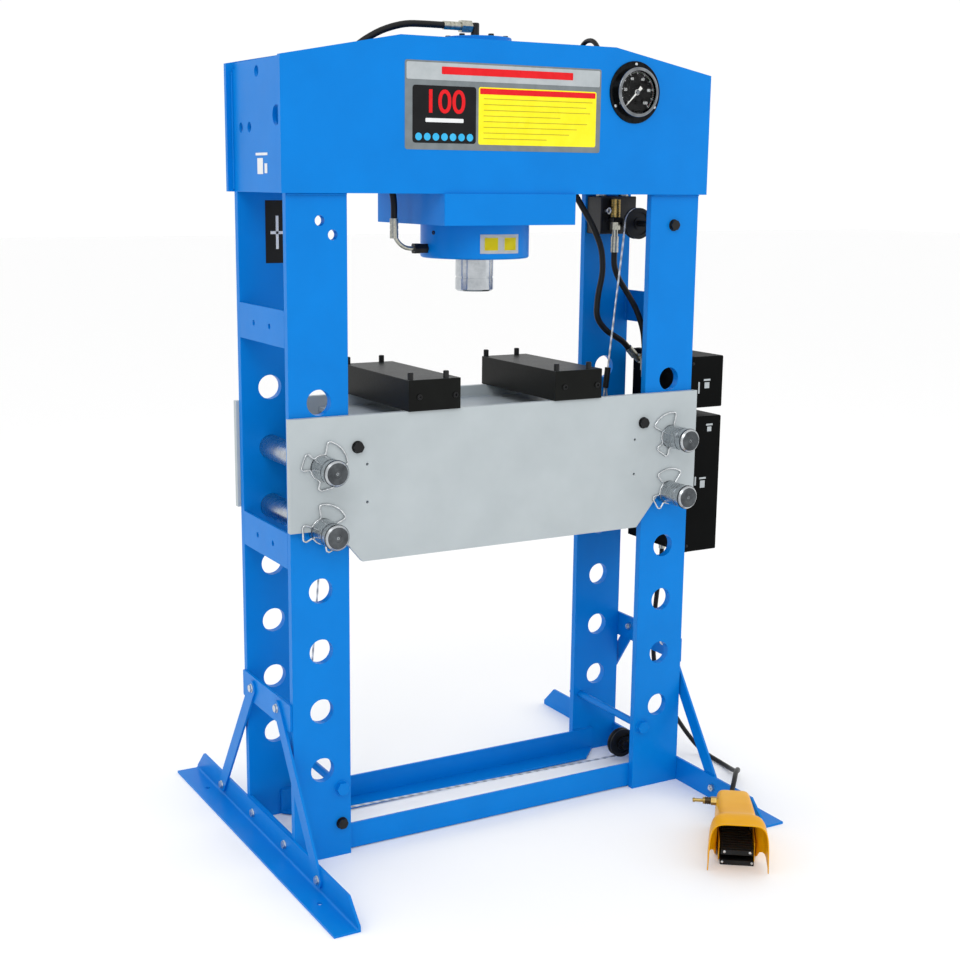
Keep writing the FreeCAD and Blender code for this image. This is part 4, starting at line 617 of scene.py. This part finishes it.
# support pins: burnished front caps with a centre mark
pins = {"x": 500.0, "levels": {"upper": 982.0, "lower": 832.0}, "front": -263.0, "radius": 31.4}
for level, height in pins["levels"].items():
    for side, sign in (("left", -1), ("right", 1)):
        bm = bmesh.new()
        r = pins["radius"]
        turn(bm, [(2.6, -3.0), (3.4, 0.4), (8.5, 0.5), (9.0, 1.2), (r - 7.0, 1.2), (r - 0.8, -4.6), (r, -6.2),
                  (r, -8.4), (r - 0.8, -9.2), (29.2, -9.2), (29.2, -3.0), (2.6, -3.0)],
             (sign * pins["x"], pins["front"], height), (0, -1, 0), 64)
        finishPiece("pinCap_%s_%s" % (level, side), bm, extra["capBlack"],
                    "support_pin_%s_%s" % (level, side))

# bolts: washers and sockets
washers = {        # bore, radius, thickness, edge chamfer across and down
    "brace": (5.0, 11.2, 1.6, 0.5, 0.5),
    "axle": (8.0, 15.0, 2.0, 0.6, 0.6),
    "frame": (10.0, 18.5, 2.6, 0.7, 0.8),
}
braceBolts = ((587, 83, 380), (587, 320, 34), (581, 106, 34))      # x, y and z, mirrored in x and y
axleBolts = ((-450, 85, 160), (498, 1530, 160), (-410, 1024, 177), (410, 1024, 177))
frameBolt = {"x": 450, "face": 160, "z": 177}


def washer(bm, kind, centre, axis, steps):
    bore, radius, thick, across, down = washers[kind]
    turn(bm, [(bore, 0), (radius, 0), (radius, thick - down), (radius - across, thick), (bore, thick),
              (bore, 0)], centre, axis, steps)


bm = bmesh.new()
for x, y, z in braceBolts:
    for sign in (-1, 1):
        for end in (-1, 1):
            washer(bm, "brace", (sign * x, end * y, z), (sign, 0, 0), 32)
finishPiece("braceWashers", bm, finishes["zinc_bolts"], "frame")
bm = bmesh.new()
for x, z, face in axleBolts:
    for sign in (-1, 1):
        washer(bm, "axle", (x, sign * face, z), (0, sign, 0), 36)
finishPiece("axleWashers", bm, finishes["black_steel"], "frame")
bm = bmesh.new()
for sign in (-1, 1):
    for end in (-1, 1):
        washer(bm, "frame", (sign * frameBolt["x"], end * frameBolt["face"], frameBolt["z"]),
               (0, end, 0), 36)
finishPiece("frameWashers", bm, finishes["frame_paint"], "frame")


def socketScrew(bm, centre, axis, radius, height):
    # cap screw with a hexagon socket
    turn(bm, [(radius * 0.55, height), (radius - 0.8, height), (radius, height - 0.8), (radius, 0), (0, 0)],
         centre, axis, 28)
    turn(bm, [(radius * 0.55, height), (radius * 0.5, height * 0.3), (0, height * 0.3)], centre, axis, 6)


blockScrews = {
    "blocks": (-279.0, 131.0), "across": (28.0, 125.0), "face": 184.5, "z": 1133, "radius": 6.5, "high": 4.5,
}
bm = bmesh.new()
for left in blockScrews["blocks"]:
    for across in blockScrews["across"]:
        for end in (-1, 1):
            socketScrew(bm, (left + across, end * blockScrews["face"], blockScrews["z"]), (0, end, 0),
                        blockScrews["radius"], blockScrews["high"])
finishPiece("blockScrews", bm, finishes["stud_steel"], "frame", closed=False)
print("bolts")

# cylinder: wiper seal, bleed screw and cap screws
cylinder = {
    "sealPlace": (0, 0, 1449.5),
    "seal": [(48.4, 0), (49.2, -4.5), (52.0, -5.2), (56.5, -3.2), (57.6, 0), (57.6, 4.0), (48.4, 4.0),
             (48.4, 0)],
    "capScrews": 6, "firstAngle": 30, "ring": 70.0, "capTop": 1978.6,
    "bleedPlace": (-132.16, -30.0, 1512), "bleedAxis": (-0.976, -0.219, 0),
}
bm = bmesh.new()
turn(bm, cylinder["seal"], cylinder["sealPlace"], (0, 0, 1), 72)
finishPiece("wiperSeal", bm, extra["sealBlack"], "frame")
bm = bmesh.new()
for k in range(cylinder["capScrews"]):
    a = math.radians(cylinder["firstAngle"] + 360 / cylinder["capScrews"] * k)
    socketScrew(bm, (cylinder["ring"] * math.cos(a), cylinder["ring"] * math.sin(a), cylinder["capTop"]),
                (0, 0, 1), 7.0, 6.0)
socketScrew(bm, cylinder["bleedPlace"], cylinder["bleedAxis"], 5.0, 3.0)
finishPiece("cylinderScrews", bm, finishes["stud_steel"], "frame", closed=False)

# valve: brass sleeve and eye bolt
valve = {
    "x": 466.0, "y": 57.0, "low": 1545.0, "high": 1593.0, "ribs": 7,
    "eyeShank": (444, 72.5, 1562), "eyeRing": (444, 54.5, 1562), "ringRadius": 7.0, "ringWire": 2.4,
}
bm = bmesh.new()
height = valve["high"] - valve["low"]
step = height / valve["ribs"]
outline = [(0, -0.2), (12.4, -0.2)]
for k in range(valve["ribs"]):
    outline += [(13.6, k * step + 0.8), (13.6, k * step + step - 1.4), (12.9, k * step + step - 0.5)]
outline += [(12.4, height + 0.2), (0, height + 0.2)]
turn(bm, outline, (valve["x"], valve["y"], valve["low"]), (0, 0, 1), 40)
finishPiece("valveSleeve", bm, finishes["nipple_brass"], "frame")
bm = bmesh.new()
turn(bm, [(0, 0), (4.0, 0), (4.0, 9.0), (3.0, 10.0), (0, 10.0)], valve["eyeShank"], (0, -1, 0), 20)
wire, ringRadius = valve["ringWire"], valve["ringRadius"]
ring = [(ringRadius + wire * math.cos(math.radians(a)), wire * math.sin(math.radians(a)))
        for a in range(0, 361, 30)]
verts = turn(bm, ring, (0, 0, 0), (0, 0, 1), 32)
upright = Matrix.Rotation(math.radians(90), 4, "Y")
place(bm, verts, Matrix.Translation(Vector(valve["eyeRing"]) * mm) @ upright)
finishPiece("valveEye", bm, finishes["zinc_bolts"], "frame")
print("cylinder and valve")

# pump covers: folded lips, louvres, screws and seams
cases = {
    "left": 580.0, "right": 688.0, "front": -150.0, "rear": 105.0,
    "levels": ((1046.0, 1184.0), (650.0, 1022.0)),
}
bm = bmesh.new()
for low, high in cases["levels"]:
    x0, x1, y0, y1 = cases["left"], cases["right"], cases["front"], cases["rear"]
    for y in (y0 - 0.9, y1 + 0.1):
        slab(bm, (x0 + 0.2, y, low + 3), (x0 + 13, y + 0.8, high - 3), 0.3, 1)
    for z in (low - 0.9, high + 0.1):
        slab(bm, (x0 + 0.2, y0 + 4, z), (x0 + 13, y1 - 4, z + 0.8), 0.3, 1)
    rows = 4 if high - low < 200 else 9
    for k in range(rows):
        z = low + 30 + k * (high - low - 60) / (rows - 1)
        slab(bm, (x1 - 0.6, -75, z - 3.2), (x1 + 3.2, 30, z + 3.2), 2.0, 3)
finishPiece("coverTrim", bm, finishes["case_paint"], "frame")
bm = bmesh.new()
for low, high in cases["levels"]:
    for z in (low + 18, high - 18):
        for y, way in ((cases["front"] - 0.9, -1), (cases["rear"] + 0.9, 1)):
            turn(bm, domes["coverEdge"], (cases["left"] + 7, y, z), (0, way, 0), 20)
        for y in (cases["front"] + 14, cases["rear"] - 14):
            turn(bm, domes["coverFace"], (cases["right"], y, z), (1, 0, 0), 20)
finishPiece("coverScrews", bm, finishes["stud_steel"], "frame")
print("pump covers")

# foot pedal
pedalSpot = Matrix.Translation((pedal["place"][0] * mm, pedal["place"][1] * mm, 0)) @ Matrix.Rotation(
    math.radians(pedal["turn"]), 4, "Z")
hood = {
    "stations": [  # distance back, half width, height, lower edge, squareness
        (0.0, 74.2, 124.4, 1.2, 0.36), (3.0, 73.6, 123.6, 9.0, 0.36), (8.0, 73.2, 124.0, 15.0, 0.36),
        (24.0, 72.8, 126.2, 19.0, 0.36), (44.0, 72.0, 127.8, 24.0, 0.37), (56.0, 69.6, 127.6, 27.0, 0.38),
        (64.0, 64.0, 126.0, 28.0, 0.38), (72.0, 57.0, 123.4, 24.0, 0.36), (82.0, 52.4, 120.6, 8.0, 0.3),
        (96.0, 51.0, 119.0, 1.2, 0.27), (140.0, 49.6, 115.6, 1.0, 0.26), (200.0, 47.6, 110.6, 1.0, 0.26),
        (246.0, 45.8, 106.6, 1.0, 0.26), (256.0, 44.8, 105.0, 1.0, 0.28), (260.0, 42.0, 101.6, 1.0, 0.32)],
    "wall": 3.0, "around": 56, "lean": 0.045, "rear": 0.26,
    "capSide": 0.86, "capTop": 0.93, "capBack": 0.2605,
}


def archPoint(share, half, height, low, square):
    # one point of an arch that stands on its two lower edges
    a = math.pi * share
    rise = height - low
    side = -math.copysign(abs(math.cos(a)) ** square, math.cos(a))
    up = math.sin(a) ** square if 0 < share < 1 else 0.0
    lean = 1 - hood["lean"] * up
    return half * side * lean, low + rise * up


bm = bmesh.new()
rows = len(hood["stations"])
verts = bmesh.ops.create_grid(bm, x_segments=hood["around"], y_segments=rows - 1, size=0.5)["verts"]
for v in verts:
    share = v.co.x + 0.5
    back, half, height, low, square = hood["stations"][round((v.co.y + 0.5) * (rows - 1))]
    x, z = archPoint(share, half, height, low, square)
    v.co = Vector((x, back, z)) * mm
rear = [e for e in bm.edges if all(abs(v.co.y - hood["rear"]) < 1e-5 for v in e.verts)]
rim = bmesh.ops.extrude_edge_only(bm, edges=rear)["geom"]
rimVerts = [v for v in rim if isinstance(v, bmesh.types.BMVert)]
for v in rimVerts:
    v.co.x *= hood["capSide"]
    v.co.z = mm + (v.co.z - mm) * hood["capTop"]
    v.co.y = hood["capBack"]
bmesh.ops.contextual_create(bm, geom=[e for e in bm.edges if all(v in rimVerts for v in e.verts)] + rimVerts)
bmesh.ops.recalc_face_normals(bm, faces=bm.faces)
if sum(f.normal.z * f.calc_area() for f in bm.faces) < 0:
    bmesh.ops.reverse_faces(bm, faces=bm.faces)
bmesh.ops.transform(bm, matrix=pedalSpot, verts=bm.verts)
shell = finishPiece("pedalHoodCasting", bm, finishes["pedal_yellow"], "frame", angle=50,
                    closed=False)
wall = shell.modifiers.new("wall", "SOLIDIFY")
wall.thickness = hood["wall"] * mm
wall.offset = -1
rounding = shell.modifiers.new("edge", "BEVEL")
rounding.width = 1.1 * mm
rounding.segments = 2
rounding.limit_method = "ANGLE"
rounding.angle_limit = math.radians(50)
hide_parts("pedal_hood")

bm = bmesh.new()
for sign in (-1, 1):      # cheeks that carry the treadle, seen inside the mouth
    x0, x1 = sorted((sign * 42.0, sign * 44.0))
    verts = slab(bm, (x0, 62, 2), (x1, 150, 74), 0.8)
    for v in {w for f in bm.faces for w in f.verts if abs(w.co.x * 1000 - sign * 43) < 2}:
        if v.co.y < 0.08 and v.co.z > 0.04:
            v.co.z -= 0.022
bmesh.ops.transform(bm, matrix=pedalSpot, verts=bm.verts)
finishPiece("pedalCheeks", bm, finishes["pedal_yellow"], "frame")

tread = {"front": (47.0, 38.2), "rear": (160.0, 71.0), "half": 37.0, "ribs": 13}
bm = bmesh.new()
(yA, zA), (yB, zB) = tread["front"], tread["rear"]
slope = math.atan2(zB - zA, yB - yA)
for k in range(tread["ribs"]):
    share = (k + 0.5) / tread["ribs"]
    y, z = yA + share * (yB - yA), zA + share * (zB - zA)
    half = tread["half"] if y < 100 else tread["half"] - (y - 100) * 0.24
    verts = slab(bm, (-half, -2.6, -0.4), (half, 2.6, 2.4))
    edges = [e for e in {e for v in verts for e in v.link_edges} if all(v.co.z > 0.001 for v in e.verts)]
    made = bmesh.ops.bevel(bm, geom=edges, offset=0.9 * mm, affect="EDGES", segments=2, profile=0.5,
                           material=-1)
    piece = {v for v in verts if v.is_valid} | {v for v in made["verts"]}
    piece |= {w for v in piece for e in v.link_edges for w in e.verts}
    place(bm, list(piece), Matrix.Translation((0, y * mm, z * mm)) @ Matrix.Rotation(slope, 4, "X"))
bmesh.ops.transform(bm, matrix=pedalSpot, verts=bm.verts)
finishPiece("treadRibs", bm, finishes["black_plastic"], "treadle")
bm = bmesh.new()
for x in (-31, 31):
    turn(bm, domes["tread"], (x, 43.0, 33), (0, -1, 0), 18)
bmesh.ops.transform(bm, matrix=pedalSpot, verts=bm.verts)
finishPiece("treadScrews", bm, finishes["zinc_bolts"], "treadle")
bm = bmesh.new()
for x in (-36, 36):
    turn(bm, domes["lip"], (x, 41.0, 7), (0, -1, 0), 18)
for x, y in ((-30, 225), (30, 225), (0, 112)):
    top = 119 - (y - 82) * 0.085      # the housing falls towards its rear
    turn(bm, domes["hood"], (x, y, top - 2.6 if x else top - 2.3), (0, 0, 1), 18)
bmesh.ops.transform(bm, matrix=pedalSpot, verts=bm.verts)
finishPiece("pedalScrews", bm, finishes["zinc_bolts"], "frame")
bm = bmesh.new()
sleeve = {"place": (-58, 226, 86), "outline": [
    (7.2, 0), (9.4, 1.2), (9.4, 3.6), (8.6, 4.2), (8.6, 6.2), (9.4, 6.8), (9.4, 9.4), (8.6, 10.0),
    (8.6, 12.0), (9.4, 12.6), (9.4, 15.0), (7.0, 16.4), (5.2, 16.4), (5.2, 0), (7.2, 0)]}
turn(bm, sleeve["outline"], sleeve["place"], (-1, 0, 0), 40)
bmesh.ops.transform(bm, matrix=pedalSpot, verts=bm.verts)
finishPiece("couplingSleeve", bm, extra["knurled"], "frame")
print("pedal")

# air hose to the pedal
airHose = {
    "diameter": 0.013, "length": 1.185,
    "route": [
        (0.618, 0, 0.626), (0.618, 0, 0.576), (0.606, 0.001, 0.492), (0.598, -0.001, 0.4),
        (0.599, -0.002, 0.318),
        (0.613, -0.004, 0.24), (0.642, -0.006, 0.176), (0.672, -0.008, 0.134), (0.702, -0.009, 0.09),
        (0.726, -0.014, 0.056), (0.743, -0.036, 0.026), (0.751, -0.076, 0.01), (0.752, -0.124, 0.0076),
        (0.747, -0.168, 0.0084), (0.734, -0.214, 0.015), (0.708, -0.262, 0.034), (0.674, -0.306, 0.06),
        (0.638, -0.346, 0.084), (0.6, -0.384, 0.096), (0.562, -0.424, 0.092),
        tuple(pedalSpot @ Vector((0, 0.312, 0.076))), tuple(pedalSpot @ Vector((0, 0.282, 0.066)))],
}
line = bpy.data.curves.new("pedalAirHose", "CURVE")
line.dimensions = "3D"
spline = line.splines.new("NURBS")
spline.points.add(len(airHose["route"]) - 1)
for point, spot in zip(spline.points, airHose["route"]):
    point.co = (*spot, 1.0)
spline.order_u = 3
spline.use_endpoint_u = True
spline.resolution_u = 10
line.bevel_depth = airHose["diameter"] / 2
line.bevel_resolution = 6
line.use_fill_caps = True
line.materials.append(finishes["hose_rubber"])
hosePiece = bpy.data.objects.new("pedalAirHose", line)
bpy.context.scene.collection.objects.link(hosePiece)
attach(hosePiece, "frame")
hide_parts("pedal_hose")
print("air hose")

# room, light and camera
floorMaterial, tree, shader, spot = newMaterial("paleFloor", Base_Color=linear("FBFBFB"), Roughness=0.7,
                                                 Specular_IOR_Level=0.05)
grain = addNode(tree, "TexNoise", {"Vector": spot, "Scale": perMm(900), "Detail": 2.0})
tree.links.new(spread(tree, grain.outputs["Fac"], 0.65, 0.78), shader.inputs["Roughness"])
bm = bmesh.new()
bmesh.ops.create_grid(bm, x_segments=2, y_segments=2, size=40.0)
floorMesh = bpy.data.meshes.new("floor")
bm.to_mesh(floorMesh)
bm.free()
floorMesh.materials.append(floorMaterial)
floor = bpy.data.objects.new("floor", floorMesh)
bpy.context.scene.collection.objects.link(floor)

world = bpy.data.worlds.new("studio")
bpy.context.scene.world = world
world.use_nodes = True
world.node_tree.nodes["Background"].inputs["Color"].default_value = linear(light["sky"][0])
world.node_tree.nodes["Background"].inputs["Strength"].default_value = light["sky"][1]
for name in ("key", "fill", "rim"):
    lamp = bpy.data.lights.new(name, "AREA")
    lamp.shape = "SQUARE"
    lamp.size = light[name]["size"]
    lamp.energy = light[name]["power"]
    holder = bpy.data.objects.new(name, lamp)
    bpy.context.scene.collection.objects.link(holder)
    way = Vector(light[name]["aim"]) - Vector(light[name]["place"])
    aimed = way.to_track_quat("-Z", "Y").to_matrix().to_4x4()
    holder.matrix_world = Matrix.Translation(light[name]["place"]) @ aimed

view = bpy.data.cameras.new("mainView")
view.sensor_width = 36
view.lens = camera["lens"]
view.shift_x = camera["shiftX"]
view.shift_y = camera["shiftY"]
view.clip_end = 60
viewer = bpy.data.objects.new("mainView", view)
bpy.context.scene.collection.objects.link(viewer)
basis = Matrix((camera["right"], camera["up"], camera["back"])).transposed().to_4x4()
viewer.matrix_world = Matrix.Translation(camera["place"]) @ basis
bpy.context.scene.camera = viewer
bpy.context.scene.view_settings.view_transform = "Standard"

print("done")
